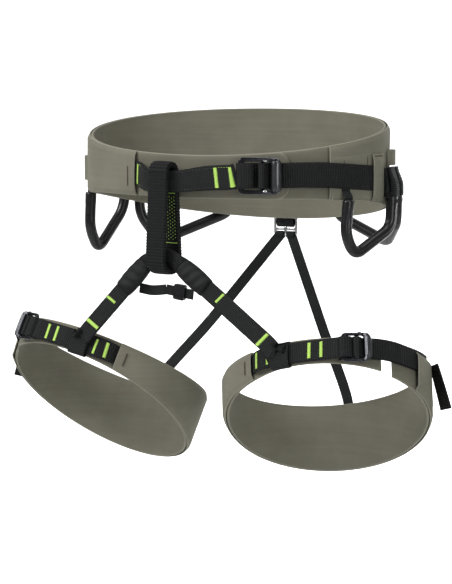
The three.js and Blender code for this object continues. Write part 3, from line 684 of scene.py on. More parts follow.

# The third colour of each laminate is a painted highlight along its rounded edges and ends.
LAMINATE = laminate_material("laminate_outer", (0.150, 0.145, 0.108), (0.185, 0.180, 0.138),
                             (0.30, 0.29, 0.235))
LINING = laminate_material("laminate_inner", (0.138, 0.133, 0.099), (0.172, 0.166, 0.127),
                           (0.27, 0.26, 0.21))
SHEET = soft_cloth_material("load_sheet_film")
# Each webbing's dark and light colours are mixed by weave height, as painted shade in its hollows and
# painted highlight on its picks.
WEB = webbing_material("webbing_ribbed", 2.3, 1.5, light=(0.021, 0.022, 0.0225))
WEB_FINE = webbing_material("webbing_fine", 1.7, 1.5, dark=(0.0015, 0.0017, 0.0018),
                            light=(0.026, 0.0275, 0.028), depth=0.4)
WEB_LOOP = webbing_material("webbing_belay", 2.9, 1.35, depth=0.4)
CLOTH = soft_cloth_material("sleeve_cloth")
LIME = thread_material("thread_lime", (0.36, 0.62, 0.07), (0.60, 0.86, 0.20))
BROWN = thread_material("thread_brown", (0.035, 0.022, 0.014), (0.075, 0.048, 0.032))
BLACK_THREAD = thread_material("thread_black", (0.008, 0.008, 0.009), (0.03, 0.03, 0.03))
PLASTIC = moulded_material("moulded_black")
ANODISED = alloy_material("anodised_black", (0.020, 0.021, 0.025), (0.045, 0.046, 0.052),
                          0.22, 0.36, 0.3)
SATIN = alloy_material("anodised_satin", (0.055, 0.057, 0.062), (0.12, 0.122, 0.128),
                       0.26, 0.4, 0.2)
STEEL = alloy_material("hook_steel", (0.52, 0.53, 0.54), (0.72, 0.73, 0.73), 0.2, 0.34)

BELT = "waist_belt"


# ---------------------------------------------------------------- waist belt

def bonded_edges(outer, drop, reach=5.0):
    """Lets a sheet's face sink towards the lining along its top and bottom edges, by drop in
    millimetres or by drop(angle)."""
    def face(angle, height, low, high):
        near = np.minimum(height - low, high - height)
        fall = drop(angle) if callable(drop) else drop
        return outer(angle, height) - fall * (1 - smooth(0, reach, near))
    return face


def stretches(*marks):
    """Angles in stretches of their own fineness: start, count, next start, count, ..., end."""
    parts = [np.linspace(a, b, n)[:-1] for a, n, b in zip(marks[::2], marks[1::2], marks[2::2])]
    return np.concatenate([*parts, marks[-1:]])


def level(height):
    return lambda angle: height + 0 * angle


def lens(angle, edge_angle, span, height, middle, half):
    """A swelling beside a slit: strongest at the slit and half way up it."""
    along = np.clip(1 - np.abs(angle - edge_angle) / span, 0, 1) ** 2
    over = np.clip(1 - ((height - middle) / half) ** 2, 0, 1)
    return along * over


def waist_belt():
    def shell_face(angle, height):
        ripple = 0.25 * np.sin(np.radians(angle * 3 + height * 2.5))
        return (ripple + 1.5 * lens(angle, -23.6, 7, height, -3, 21)
                + 1.2 * lens(angle, -306.5, 6, height, -2, 20))
    angles = stretches(-306.5, 14, -300, 230, -34, 20, -23.6)
    band_sheet("waist_shell_skin", waist, angles, bonded_edges(shell_face, 2.0), SHELL,
               LAMINATE, BELT, "laminate", ["waist_shell"], rows=30)

    def tongue(angle, height):
        return LINER_FACE + 3.1 * smooth(-20, 10, angle)

    def end_corner(function, way):
        radius = 13.0

        def height(angle):
            run = np.abs(37 - angle) * waist.pace(37.0)
            cut = radius - np.sqrt(np.clip(radius ** 2 - np.clip(radius - run, 0, radius) ** 2,
                                           0, None))
            return function(angle) - way * np.where(angle > 20, cut, 0)
        return height
    angles = stretches(-340, 290, 20, 46, 37)
    band_sheet("waist_lining", waist, angles, bonded_edges(tongue, 0.5, 3), LINER, LINING, BELT,
               "inner_laminate", ["waist_liner"], low=end_corner(waist.bottom, -1),
               high=end_corner(waist.top, 1), rows=26)

    # Raised panel under the strap's tail, and the keeper that the tail runs behind.
    def panel_face(angle, height, low, high):
        near = np.minimum(height - low, high - height)
        sides = np.minimum(angle - 54.5, 76 - angle) * 2
        return 0.15 + 0.45 * smooth(0, 1.6, np.minimum(near, sides))
    band_sheet("belt_side_panel", waist, np.linspace(54.6, 75.8, 44), panel_face, 0.5, LAMINATE,
               BELT, "laminate", low=level(-25.5),
               high=lambda a: 14.5 + 0.16 * (a - 55), rows=16)

    def keeper_face(angle, height, low, high):
        near = np.minimum(height - low, high - height)
        sides = 86.5 - angle
        swell = 2.2 * smooth(0, 7, near) * (0.35 + 0.65 * smooth(0, 5, sides))
        return 1.5 + swell
    band_sheet("waist_keeper_skin", waist, np.linspace(76.9, 86.4, 26), keeper_face, 1.2,
               LAMINATE, BELT, "laminate", ["waist_strap_keeper"],
               low=level(-27.5), high=level(17.0), rows=24)

    thread_work = Soup()
    place, arc_at = on_band(waist, 0.1)
    bartack(thread_work, place, arc_at(-27.3), -15.5, 3.5, 1.5)
    upright_place, _ = on_band(waist, 1.6)

    def sideways(s, y, z):
        return upright_place(y, s, z)
    bartack(thread_work, sideways, 14.8, arc_at(78.2), arc_at(84.6), 1.6)
    thread_work.piece("belt_tacks", BROWN, BELT, "laminate")

    for angle, low, high in ((60.2, 3.5, 13), (73.6, 6, 16)):
        slit = Soup()
        stitches(slit, on_band(waist, 0.75)[0],
                 [(arc_at(angle), low), (arc_at(angle), high)], length=9, gap=0.5, radius=0.42,
                 lift=-0.1)
        slit.piece(f"belt_slit_{int(angle)}", BLACK_THREAD, BELT, "webbing")


# ---------------------------------------------------------------- buckles

def buckle_place(surface, angle, height):
    """Turns buckle coordinates (x along, y up, z outwards, in mm) into the row frame."""
    origin = surface.at(angle, height, 0)
    axes = np.stack([surface.tangent(angle), surface.up, surface.normal(angle)])

    def place(points):
        return origin + np.array(points, float) @ axes
    return place


def form(place, rings, closed=False):
    """Rings of points in local coordinates, joined into one solid and set in their place."""
    rings = np.array(rings)
    return grid(place(rings), rings[..., :2], closed=closed)[:3]


class Buckle:
    """A slide buckle's sizes and its place: fixed bar on the left, window, then the lip."""

    def __init__(self, surface, angle, height, length, depth, webbing, attach, lip, bar_at):
        self.surface, self.angle, self.height = surface, angle, height
        self.depth, self.webbing = depth, webbing
        self.rail = webbing / 2 + 1.2
        self.left, self.right = -length / 2, length / 2
        self.attach_x = self.left + attach / 2
        self.window = (self.left + attach, self.right - lip)
        self.lip, self.bar_at = lip, bar_at
        self.place = buckle_place(surface, angle, height)

    def locate(self, x, z):
        return self.surface.locate(self.place([x, 0, z]), self.angle)


# Middle of a buckle's plate above its band, the plate's thickness, and the radius of the eye
# of webbing round its fixed bar. Then the rib pitches and the height of the leg strap's line.
MIDDLE = 6.8
PLATE = 2.8
EYE = 3.95
WAIST_RIB, LEG_RIB = 2.3, 2.0
LEG_LINE = 15
waist_buckle = Buckle(waist, 26.5, -2, length=42, depth=35, webbing=24, attach=5, lip=11.7,
                      bar_at=2.1)
leg_buckle = Buckle(leg, 38.5, LEG_LINE, length=29, depth=28, webbing=20, attach=4, lip=8,
                    bar_at=0.2)


def rounded_outline(x0, y0, x1, y1, radii, steps=7):
    """Corner radii in the order right-top, left-top, left-bottom, right-bottom."""
    corners = ((x1, y1, -1, -1, 0), (x0, y1, 1, -1, 90), (x0, y0, 1, 1, 180), (x1, y0, -1, 1, 270))
    out = []
    for (x, y, sx, sy, start), radius in zip(corners, radii):
        for t in np.radians(np.linspace(start, start + 90, steps)):
            out.append((x + sx * radius + radius * math.cos(t),
                        y + sy * radius + radius * math.sin(t)))
    return np.array(out)


def buckle_pieces(prefix, b, buckle, flip):
    """Cast frame with rounded rails and a deep curved lip, the floating bar and its ends."""
    outline = rounded_outline(b.left, -b.depth / 2, b.right, b.depth / 2,
                              (8.5, 4.5, 4.5, 8.5), 9)
    window = rounded_outline(b.window[0], -b.rail, b.window[1], b.rail, (2.2, 2, 2, 2.2), 9)
    half = PLATE / 2

    def crown(x, y):
        """Rise of the lip's outer face over its plate."""
        t = np.clip((x - b.window[1]) / (b.right - b.window[1]), 0, 1)
        swell = np.sin(math.pi * np.clip(t * 0.93 + 0.04, 0, 1)) ** 0.8
        return b.lip * 0.44 * swell * (1 - 0.25 * (2 * y / b.depth) ** 4)
    rings = []
    rounding = np.radians([-90, -60, -25, 0, 25, 60, 90])
    edge_round = 0.9
    # Round the outer edge, over the top to the window, down its wall and back underneath.
    for t in rounding:
        inset = edge_round * (1 - math.cos(t))
        centre = outline.mean(0)
        ring = outline + unit(centre - outline) * inset
        rise = math.sin(t) * half
        rings.append((ring, rise, 1.0 if rise > 0 else 0.0))
    for share in (0.35, 0.7):
        rings.append((outline * (1 - share) + window * share, half, 1.0))
    for t in rounding[::-1]:
        centre = window.mean(0)
        ring = window - unit(centre - window) * edge_round * (1 - math.cos(t)) * 0.8
        rise = math.sin(t) * half
        rings.append((ring, rise, 1.0 if rise > 0 else 0.0))
    for share in (0.7, 0.35):
        rings.append((outline * (1 - share) + window * share, -half, 0.0))
    stack = []
    for ring, rise, up in rings:
        z = MIDDLE + rise + up * crown(ring[:, 0], ring[:, 1])
        stack.append(np.column_stack([ring, z]))
    piece(f"{prefix}_buckle_body", *form(b.place, stack, closed=True), ANODISED, buckle,
          "black_alloy", [f"{buckle}_frame"], flip)

    # Satin face of the lip: a thin raised shield with no mark on it.
    x0, x1 = b.window[1] + 2.2, b.right - 1.3
    reach = b.depth / 2 - 3.2
    shield = rounded_outline(x0, -reach, x1, reach, (3, 1.6, 1.6, 3), 7)
    middle = shield.mean(0)
    layers = []
    for scale, lift in ((1.0, -0.25), (1.0, 0.12), (0.9, 0.3), (0.45, 0.3)):
        ring = middle + (shield - middle) * scale
        z = MIDDLE + half + crown(ring[:, 0], ring[:, 1]) + lift
        layers.append(np.column_stack([ring, z]))
    piece(f"{prefix}_buckle_shield", *form(b.place, layers), SATIN, buckle, "black_alloy",
          flip=flip)

    # Polished seats where the floating bar runs in the rails.
    seats = Soup()
    for y in (-b.rail - 1.6, b.rail + 1.6):
        points = []
        for radius, lift in ((2.1, -0.4), (2.1, 0.5), (1.7, 1.0), (0.8, 1.25)):
            turn = np.linspace(0, 2 * math.pi, 20, endpoint=False)
            x = b.bar_at + 2.6 + radius * 1.15 * np.cos(turn)
            points.append(np.column_stack([x, y + radius * 0.8 * np.sin(turn),
                                           np.full(20, MIDDLE + half + lift)]))
        seats.add(*form(b.place, points))
    seats.piece(f"{prefix}_buckle_seats", STEEL if prefix == "waist" else ANODISED, buckle,
                "black_alloy", flip=flip)

    # Floating bar: flat across the strap with ground corners, its tenons in the rails.
    rows = []
    ends = b.rail + 2.1
    for y, wide, tall in ((-ends, 1.4, 0.6), (-b.rail, 1.4, 0.6), (-b.rail + 0.3, 1.8, 1.4),
                          (b.rail - 0.3, 1.8, 1.4), (b.rail, 1.4, 0.6), (ends, 1.4, 0.6)):
        ring = rounded_outline(-wide, -tall, wide, tall, (0.5,) * 4, 4)
        rows.append(np.column_stack([b.bar_at + ring[:, 0], np.full(len(ring), y),
                                     MIDDLE + ring[:, 1]]))
    piece(f"{prefix}_buckle_roller", *form(b.place, rows), ANODISED, f"{buckle}_bar",
          "black_alloy", [f"{buckle}_bar"], flip)


def turn_path(b):
    """The strap's turn round the floating bar, from under the lip and back under it."""
    end = b.window[1] + 0.6
    radius = math.hypot(3.6, 2.8) / 2 + 0.5 + WEBBING / 2
    line = [(end + 2.6, 1.85), (end, 1.9), (end - 2, 2.0)]
    for t in np.radians(np.linspace(280, 60, 15)):
        line.append((b.bar_at + radius * math.cos(t), MIDDLE + radius * math.sin(t)))
    line += [(end - 1.4, 4.7), (end, 4.05), (end + 2.4, 3.75)]
    line = np.array([(x, 0, z) for x, z in line])
    points = b.place(line)
    return Path([(*p, b.webbing, WEBBING, *(-b.surface.up)) for p in points])


def eye_rows(b, reach):
    """The eye of a strap round the fixed bar of its buckle, drawn out by reach towards the
    floating bar, as rows for a Path."""
    rows = []
    for t in np.radians(np.linspace(200, -215, 46)):
        x = b.attach_x + EYE * math.cos(t) + reach * float(smooth(-0.3, 0.9, math.cos(t)))
        lift = 0.75 if math.sin(t) < 0 else 1.0
        rows.append((*b.place([x, 0, MIDDLE + lift * EYE * math.sin(t)]), b.webbing, WEBBING,
                     *b.surface.up))
    return rows


def backing_path(b):
    """Webbing that lies behind the buckle's window, from its fixed bar to its lip."""
    rows = []
    offset, thickness = 1.0, 1.2
    for x in np.linspace(b.attach_x - EYE, b.window[1] + 3, 12):
        angle, _ = b.locate(x, offset)
        rows.append((*b.surface.at(angle, b.height, offset), b.webbing, thickness,
                     *b.surface.up))
    return Path(rows)


def strap_through(b, prefix, buckle, body, join, live, outer, outer_name, outer_node, rib,
                  flip=False):
    """The strap's turn round the floating bar, its live run to the band and its outer run.

    Both runs start under the lip. join, how far they would bend with the buckle, is handed on but no
    bend is made.
    """
    strap(f"{prefix}_turned", turn_path(b), WEB, f"{buckle}_bar", "webbing",
          [f"{prefix}_turn"], rib=rib, flip=flip)
    outer_rib = (rib[0], 0.18)
    for name, node, height, stations, ribs in (("under", "live", 1.9, live, rib),
                                               (outer_name, outer_node, 4.0, outer, outer_rib)):
        angle, low = b.locate(b.window[1] + 0.6, height)
        path = band_path(b.surface, b.webbing, [[angle, b.height, low], *stations])
        strap(f"{prefix}_{name}", path, WEB, (buckle, body, path.rows[0, :3], join), "webbing",
              [f"{prefix}_{node}"], rib=ribs, flip=flip)


# ---------------------------------------------------------------- waist straps

def waist_straps():
    b = waist_buckle
    pocket = LINER_FACE + POCKET / 2
    loop_offset = -LOOP_AXIS[1] - waist.half_depth + 0.85
    eye_angle, eye_offset = b.locate(b.attach_x - EYE, MIDDLE)
    strap_line = band_path(waist, b.webbing, [
        [-34, -3, pocket], [-24.5, -3.2, pocket, 24, 1.7], [-20.3, -4, 1.8, 24, 2.4],
        [-14, -8.0, loop_offset - 1, 21.5, 3.0], [-7.4, -8.7, loop_offset, 20.5, 3.2],
        [-1, -8, loop_offset, 21, 3.2], [8, -4.8, 10.8, 23.5, 3.0],
        [17, -3.2, 9.6, 24, 3.0], [eye_angle, b.height, eye_offset, 24, 2.9]])
    strap("tie_in_webbing", strap_line, WEB_FINE, BELT, "webbing", ["tie_in_strap"], layers=2,
          step=1.2, crown=0.25)
    strap("tie_in_eye", Path(eye_rows(b, reach=7.5)), WEB, BELT, "webbing",
          rib=(WAIST_RIB, 0.16))
    strap("waist_buckle_backing", backing_path(b), WEB, BELT, "webbing", rib=(WAIST_RIB, 0.1))

    tacks = Soup()
    s_at = {}
    rows = strap_line.rows[:, :3]
    for name, angle in (("slit", -21.4), ("first", 11.6), ("second", 16.0)):
        target = waist.at(angle, 0, 0)
        near = np.argmin(np.linalg.norm((rows - target)[:, :2], axis=1))
        s_at[name] = strap_line.s[near]
    bartack(tacks, strap_line.place, s_at["slit"], -9.5, 9.5, 3.4)
    bartack(tacks, strap_line.place, s_at["first"], -9.5, 9.5, 3.9, lean=-0.06)
    bartack(tacks, strap_line.place, s_at["second"], -9.5, 9.5, 3.9, lean=-0.04)
    stitches(tacks, strap_line.place, [(s_at["first"] + 2, 9.6), (s_at["second"] - 2, 9.6)],
             1.4, 1.2, 0.22)
    for y in (-10.2, 10.2):
        stitches(tacks, strap_line.place, [(s_at["slit"] + 3, y), (s_at["slit"] + 9, y * 0.9)],
                 1.3, 1.5, 0.18)
    tacks.piece("tie_in_tacks", LIME, BELT, "webbing")
    seams = Soup()
    for y in (-8.8, 8.8):
        stitches(seams, strap_line.place, [(s_at["slit"] + 10, y * 0.9),
                                           (s_at["first"] - 3, y)], 2.2, 1.2, 0.22)
    seams.piece("tie_in_seams", BLACK_THREAD, BELT, "webbing")

    strap_through(
        b, "waist_strap", "waist_buckle", BELT, waist.at(44.0, -2, 1),
        [[38.5, -1.6, 1.6], [45, -1.4, -1.2], [51, -1.6, pocket], [60, -2.4, pocket]],
        [[36, -1.6, 4.3], [41, -1.3, 2.9], [47, -1.5, 1.9], [54, -2, 1.5], [62, -3.2, 1.5],
         [70, -4.6, 1.5], [76, -5.5, 1.35], [84.5, -6.6, 1.35, 23]],
        "end", "tail", (WAIST_RIB, 0.16))
    buckle_pieces("waist", b, "waist_buckle", False)


# ---------------------------------------------------------------- belay loop and bridge

YAW = math.radians(12)
LOOP_ACROSS = np.array([math.cos(YAW), -math.sin(YAW), 0])
LOOP_BACK = np.array([math.sin(YAW), math.cos(YAW), 0])
LOOP_AXIS = np.array([-21.5, -111.5, 0])
BRIDGE = np.array([-21.5, -111.5, -78.8])


def ring_rows(top, top_radius, bottom, bottom_radius, width, thickness):
    """Rows of a closed upright ring: up the front run, over the top and down the back."""
    arc, run = 22, 40
    lean = math.asin((bottom_radius - top_radius) / (top - bottom))
    flat = []
    for t in np.linspace(math.pi - lean, lean, arc):
        flat.append((top_radius * math.cos(t), top + top_radius * math.sin(t)))
    last = flat[-1]
    below = (bottom_radius * math.cos(lean), bottom + bottom_radius * math.sin(lean))
    for share in np.linspace(0, 1, run)[1:-1]:
        flat.append(tuple(np.array(last) * (1 - share) + np.array(below) * share))
    for t in np.linspace(lean, -math.pi - lean, arc + 8):
        flat.append((bottom_radius * math.cos(t), bottom + bottom_radius * math.sin(t)))
    last = flat[-1]
    for share in np.linspace(0, 1, run)[1:]:
        flat.append(tuple(np.array(last) * (1 - share) + np.array(flat[0]) * share))
    rows = []
    for x, z in flat:
        centre = LOOP_AXIS + LOOP_BACK * x + np.array([0, 0, z])
        rows.append((*centre, width, thickness, *(-LOOP_ACROSS)))
    return rows


LOOP_TOP, LOOP_TOP_RADIUS = 0.9, 7
LOOP_FOOT, LOOP_FOOT_RADIUS = -83, 12
LOOP_WIDTH, LOOP_THICKNESS = 23, 5


def belay_loop():
    path = Path(ring_rows(LOOP_TOP, LOOP_TOP_RADIUS, LOOP_FOOT, LOOP_FOOT_RADIUS, LOOP_WIDTH,
                          LOOP_THICKNESS), closed=True)
    strap("belay_loop_webbing", path, WEB_LOOP, "belay_loop", "webbing", ["belay_loop"],
          layers=2, rib=(path.length / round(path.length / 2.9), 0.5), flats=15, crown=0.3)
    # The sewn overlap: rows of small zigzags on the inner face of the back run.
    tacks = Soup()
    z_top, z_low = -22.0, -66.0

    def inner(s, y, z):
        share = (np.asarray(s, float) - LOOP_TOP) / (LOOP_FOOT - LOOP_TOP)
        depth = (LOOP_TOP_RADIUS + (LOOP_FOOT_RADIUS - LOOP_TOP_RADIUS) * share
                 - LOOP_THICKNESS / 2 - np.asarray(z, float))
        depth = np.broadcast_to(depth, np.shape(s))
        return (LOOP_AXIS + LOOP_BACK * depth[..., None]
                + LOOP_ACROSS * np.asarray(y, float)[..., None]
                + np.array([0, 0, 1.0]) * np.asarray(s, float)[..., None])
    columns = (-3.4, -0.6, 2.2, 5.0, 7.8)
    for k, y in enumerate(columns):
        count = 13
        for i in range(count):
            s = z_top + (z_low - z_top) * (i + 0.5 + 0.5 * (k % 2)) / (count + 0.5)
            lean = (-1) ** (i + k)
            ends = np.linspace(-0.6, 0.6, 5)
            thread(tacks, inner(s + ends, y + ends * lean * 0.8,
                                0.05 + 0.14 * np.cos(ends * 1.5)), 0.26)
    for s in (z_top + 1.9, z_low - 1.9):
        for y in np.arange(-4.2, 9.6, 0.62):
            ends = np.linspace(-0.5, 0.5, 5)
            thread(tacks, inner(s + ends, np.full(5, y), np.full(5, 0.2)), 0.3)
    tacks.piece("belay_loop_tacks", LIME, "belay_loop", "webbing")

    arch = [(-20, -9.5), (-14, -4.5), (-7, -1), (0, 0), (7, -1), (14, -4.5), (20, -9.5)]
    line = [BRIDGE + np.array([x, -math.tan(YAW) * np.clip(x, -14, 14), z]) for x, z in arch]
    path = space_path(line, 13, 6, (0, 0, 1))
    strap("leg_bridge_webbing", path, WEB_FINE, BELT, "soft_webbing", ["leg_bridge"],
          layers=2, step=1.0, flats=7)


# ---------------------------------------------------------------- gear loops

# Five corners of each loop, as angle and height on the belt, then each tab's angle, width, top
# and foot.
GEAR_LOOPS = {
    "gear_loop_front_left": [[61, -25.3], [59.5, -57], [64, -78], [89, -54], [90, -20]],
    "gear_loop_rear_left": [[99, -20], [101, -50], [124, -74], [156, -52], [156, -36]],
    "gear_loop_front_right": [[-91, -30], [-89.5, -67], [-97, -90], [-113.5, -49],
                              [-114.5, -24]],
    "gear_loop_rear_right": [[-121.5, -24], [-122, -56], [-131, -84], [-160, -53], [-160, -36]],
}
GEAR_TABS = {
    "gear_tab_front_left": [61, 9, -16.9, -22.8],
    "gear_tab_side_left": [94.5, 26, 3.5, -16.3],
    "gear_tab_rear_left": [156, 12, -14, -33.5],
    "gear_tab_front_right": [-91, 10, -18, -27.5],
    "gear_tab_side_right": [-118, 25, 0, -21.5],
    "gear_tab_rear_right": [-160, 12, -14, -33.5],
}
# Radius of a gear loop's tube and how far its middle line stands off the belt.
TUBE = 5.7
STANDOFF = 7.5


def rounded_line(points, reach):
    """Straight runs with rounded corners, sampled evenly."""
    points = [np.array(p, float) for p in points]
    out = [points[0]]
    for before, here, after in zip(points, points[1:], points[2:]):
        enter = here + unit(before - here) * reach
        leave = here + unit(after - here) * reach
        out.append(enter)
        for t in np.linspace(0, 1, 14)[1:]:
            out.append((1 - t) ** 2 * enter + 2 * t * (1 - t) * here + t * t * leave)
    out.append(points[-1])
    out = np.array(out)
    run = run_along(out)
    spacing = 1.2
    s = np.linspace(0, run[-1], int(run[-1] / spacing) + 1)
    return np.stack([np.interp(s, run, out[:, k]) for k in range(3)], -1), s


def gear_racking():
    for name, places in GEAR_LOOPS.items():
        places = np.array(places, float)
        corners = waist.at(places[:, 0], places[:, 1], np.full(5, STANDOFF))
        line, s = rounded_line(corners, 11)
        ways = waist.normal(np.degrees(np.arctan2(line[:, 0] / waist.half_width,
                                                  -line[:, 1] / waist.half_depth)))
        total = s[-1]
        # A moulding groove along the outer side that opens below each arm's collar.
        groove = 0.75 * (smooth(13, 18, s) * smooth(13, 18, total - s))
        radius = TUBE - 0.22 * smooth(11.5, 12.3, s) * smooth(11.5, 12.3, total - s)
        for end in (s, total - s):
            radius = radius - 0.7 * (1 - smooth(0, 0.9, end))
        piece(f"{name}_tube", *tube(line, radius, ways, groove), PLASTIC, name,
              "moulded_plastic", [name])
        marks = Soup()
        for t in (9.0, total - 9.0):
            k = int(np.argmin(np.abs(s - t)))
            ring = line[k] + ways[k] * (TUBE - 0.1)
            way = unit(line[min(k + 1, len(line) - 1)] - line[k - 1])
            side = np.cross(way, ways[k])
            for u in (-0.9, 0.0, 0.9):
                ends = np.linspace(-2.2, 2.2, 5)
                thread(marks, ring + way * ends[:, None] + side * u, 0.28)
        marks.piece(f"{name}_ribs", PLASTIC, name, "moulded_plastic")

    # The side tabs are pairs of stout sleeves, one on each loop's arm; the points where each would
    # bend as it hangs are handed on but no bend is made.
    arms = {"gear_tab_side_left": ((90.0, "gear_loop_front_left"), (99.0, "gear_loop_rear_left")),
            "gear_tab_side_right": ((-114.5, "gear_loop_front_right"),
                                    (-121.5, "gear_loop_rear_right"))}
    for name, (angle, width, top, foot) in GEAR_TABS.items():
        if name in arms:
            for way, (arm, loop) in zip(("front", "rear"), arms[name]):
                low = GEAR_LOOPS[loop][4 if "front" in loop else 0][1] - 4
                rows = []
                for t in np.linspace(0, 1, 9):
                    lean = 4.6 + (STANDOFF - 4.6) * float(smooth(0, 0.7, t))
                    rows.append((*waist.at(arm, top + (low - top) * t, lean), 13.4,
                                 7.4 + 5.4 * float(smooth(0, 0.7, t)), *waist.tangent(arm)))
                bend = (BELT, loop, waist.at(arm, low + 13, STANDOFF),
                        waist.at(arm, low + 5, STANDOFF))
                strap(f"{name}_{way}_sleeve", Path(rows), WEB_FINE, bend, "webbing",
                      [name] if way == "front" else (), step=1.0, layers=2)
            continue
        # The front left tab starts under the waist strap.
        hidden = name == "gear_tab_front_left"
        if hidden:
            top, width = -12.0, 8.4
        rows = []
        for t in np.linspace(0, 1, 8):
            height = top + (foot - top) * t
            begin, near, thin = (0.45, 0.9, 1.2) if hidden else (0, 1.6, 2.2)
            share = float(smooth(begin, 1, t))
            rows.append((*waist.at(angle, height, near + (STANDOFF - near) * share), width,
                         thin + (2.2 - thin) * share, *waist.tangent(angle)))
        # Below the foot the webbing goes on into the arms of the loop.
        rows.append((*waist.at(angle, foot - 2.6, STANDOFF), width * 0.96, 2.2,
                     *waist.tangent(angle)))
        strap(f"{name}_webbing", Path(rows), WEB_FINE, BELT, "webbing", [name], step=1.0,
              layers=2)
    # Clip sleeves: angle, lower and upper edge, and how far the middle stands out.
    sleeves = {"left": (98, 5, 20, 4.8), "right": (-86, -16.5, 8.5, 6.6)}
    reach = 5.4
    for side, (angle, low, high, rise) in sleeves.items():
        def face(a, height, bottom, top, angle=angle, rise=rise):
            share = np.clip(np.abs(a - angle) / reach, 0, 1)
            return 1.5 + rise * (1 - share ** 3)
        band_sheet(f"ice_clipper_sleeve_{side}_skin", waist,
                   np.linspace(angle - reach, angle + reach, 40), face, 1.2, LAMINATE, BELT,
                   "laminate", [f"ice_clipper_sleeve_{side}"],
                   low=level(low), high=level(high), rows=12)


# ---------------------------------------------------------------- rear hook and haul loop

HOOK_ANGLE, HOOK_HEIGHT, HOOK_OFFSET = 177.8, -66, 4.4
HOOK_HALF_HEIGHT = 10.5
hook_frame = buckle_place(waist, HOOK_ANGLE, HOOK_HEIGHT)


def rear_pieces():
    def hook(points):
        return hook_frame(np.array(points, float) + [0, 0, HOOK_OFFSET])
    outer = rounded_outline(-13.5, -HOOK_HALF_HEIGHT, 13.5, HOOK_HALF_HEIGHT, (4,) * 4, 8)
    # The frame, its cross bar and the short stem between the two lower slots.
    ring_in = rounded_outline(-10.9, -7.9, 10.9, 7.9, (2.2,) * 4, 8)

    def loop_solid(out, inner):
        layers = []
        for t in np.radians([-90, -45, 0, 45, 90]):
            inset = 0.8 * (1 - math.cos(t))
            layers.append(np.column_stack([out - unit(out) * inset,
                                           np.full(len(out), 1.2 * math.sin(t))]))
        for t in np.radians([90, 45, 0, -45, -90]):
            inset = 0.6 * (1 - math.cos(t))
            layers.append(np.column_stack([inner + unit(inner) * inset,
                                           np.full(len(inner), 1.2 * math.sin(t))]))
        return form(hook, layers, closed=True)
    soup = Soup()
    soup.add(*loop_solid(outer, ring_in))

    def bar(ends, sizes):
        ends = np.array(ends, float)
        way = unit(ends[-1] - ends[0])
        side = np.array([-way[1], way[0]])
        rings = []
        for share, size in sizes:
            middle = ends[0] * (1 - share) + ends[-1] * share
            ring = rounded_outline(-size, -1.15, size, 1.15, (0.6,) * 4, 4)
            rings.append(np.column_stack([middle + ring[:, :1] * side, ring[:, 1]]))
        return form(hook, rings)
    flare = [(0, 2.6), (0.06, 1.5), (0.2, 1.2), (0.42, 1.25), (0.46, 1.7), (0.5, 2.9),
             (0.54, 1.7), (0.58, 1.25), (0.8, 1.2), (0.94, 1.5), (1, 2.6)]
    soup.add(*bar([(-11.6, -3.2), (11.6, -3.2)], flare))
    soup.add(*bar([(0, 0.6), (0, -9.2)], [(0, 0.3), (0.15, 0.9), (0.33, 2.3), (0.55, 1.3),
                                          (0.85, 1.2), (1, 2.0)]))
    soup.piece("rear_hook_casting", STEEL, BELT, "polished_metal", replaces=["rear_hook"])

    tangent = waist.tangent(HOOK_ANGLE)

    def hang(points, width, thickness, name, node):
        rows = [(*hook(point), width, thickness, *tangent) for point in points]
        strap(name, Path(through(rows, 8)), CLOTH, BELT, "soft_webbing", [node], step=0.8)
    eye = [(0, 9.2 + (2.9 if math.sin(t) > 0 else 9.6) * math.sin(t), 2.9 * math.cos(t))
           for t in np.radians(np.linspace(60, -200, 22))]
    hang([(0, 36, 2.0), (0, 24, 2.4), (0, 14, 2.8)] + eye + [(0, 12.5, -2.2)], 19.5, 1.4,
         "rear_anchor_webbing", "rear_anchor_tab")
    for side, way in (("left", -1), ("right", 1)):
        eye = [(way * 6.1, -9.2 + (3.4 if math.sin(t) > 0 else 2.7) * math.sin(t),
                2.6 * math.cos(t)) for t in np.radians(np.linspace(-80, 250, 18))]
        hang(eye, 9.6, 1.3, f"rear_elastic_eye_{side}_tape", f"rear_elastic_eye_{side}")

    haul = [(-12, 28), (-13, 5), (0, -12), (13, 5), (12, 28)]
    rows = []
    for x, z in haul:
        angle = HOOK_ANGLE + x / float(waist.pace(HOOK_ANGLE))
        rows.append((*waist.at(angle, z, 4.5), 8, 1.8, *waist.normal(HOOK_ANGLE)))
    strap("haul_loop_tape", Path(through(rows, 16)), WEB_FINE, "haul_loop", "soft_webbing",
          ["haul_loop"], step=0.9)
    ends = Soup()
    place, arc_at = on_band(waist, 4.2)
    for x in (-12, 12):
        bartack(ends, place, arc_at(HOOK_ANGLE) + x, 24, 31.5, 6.5, lift=0.0)
    ends.piece("haul_loop_tacks", BLACK_THREAD, BELT, "soft_webbing")


# ---------------------------------------------------------------- leg loops

# Where a riser wraps the leg strap: angle and offset on the leg band. Then the riser's width.
WRAP_ANGLE, WRAP_OFFSET = -1, 4.05
RISER = 17


def below_line(*stations):
    """Rows for band_path from angle, distance below the leg strap's line, and offset."""
    return [[angle, LEG_LINE - below, offset] for angle, below, offset in stations]


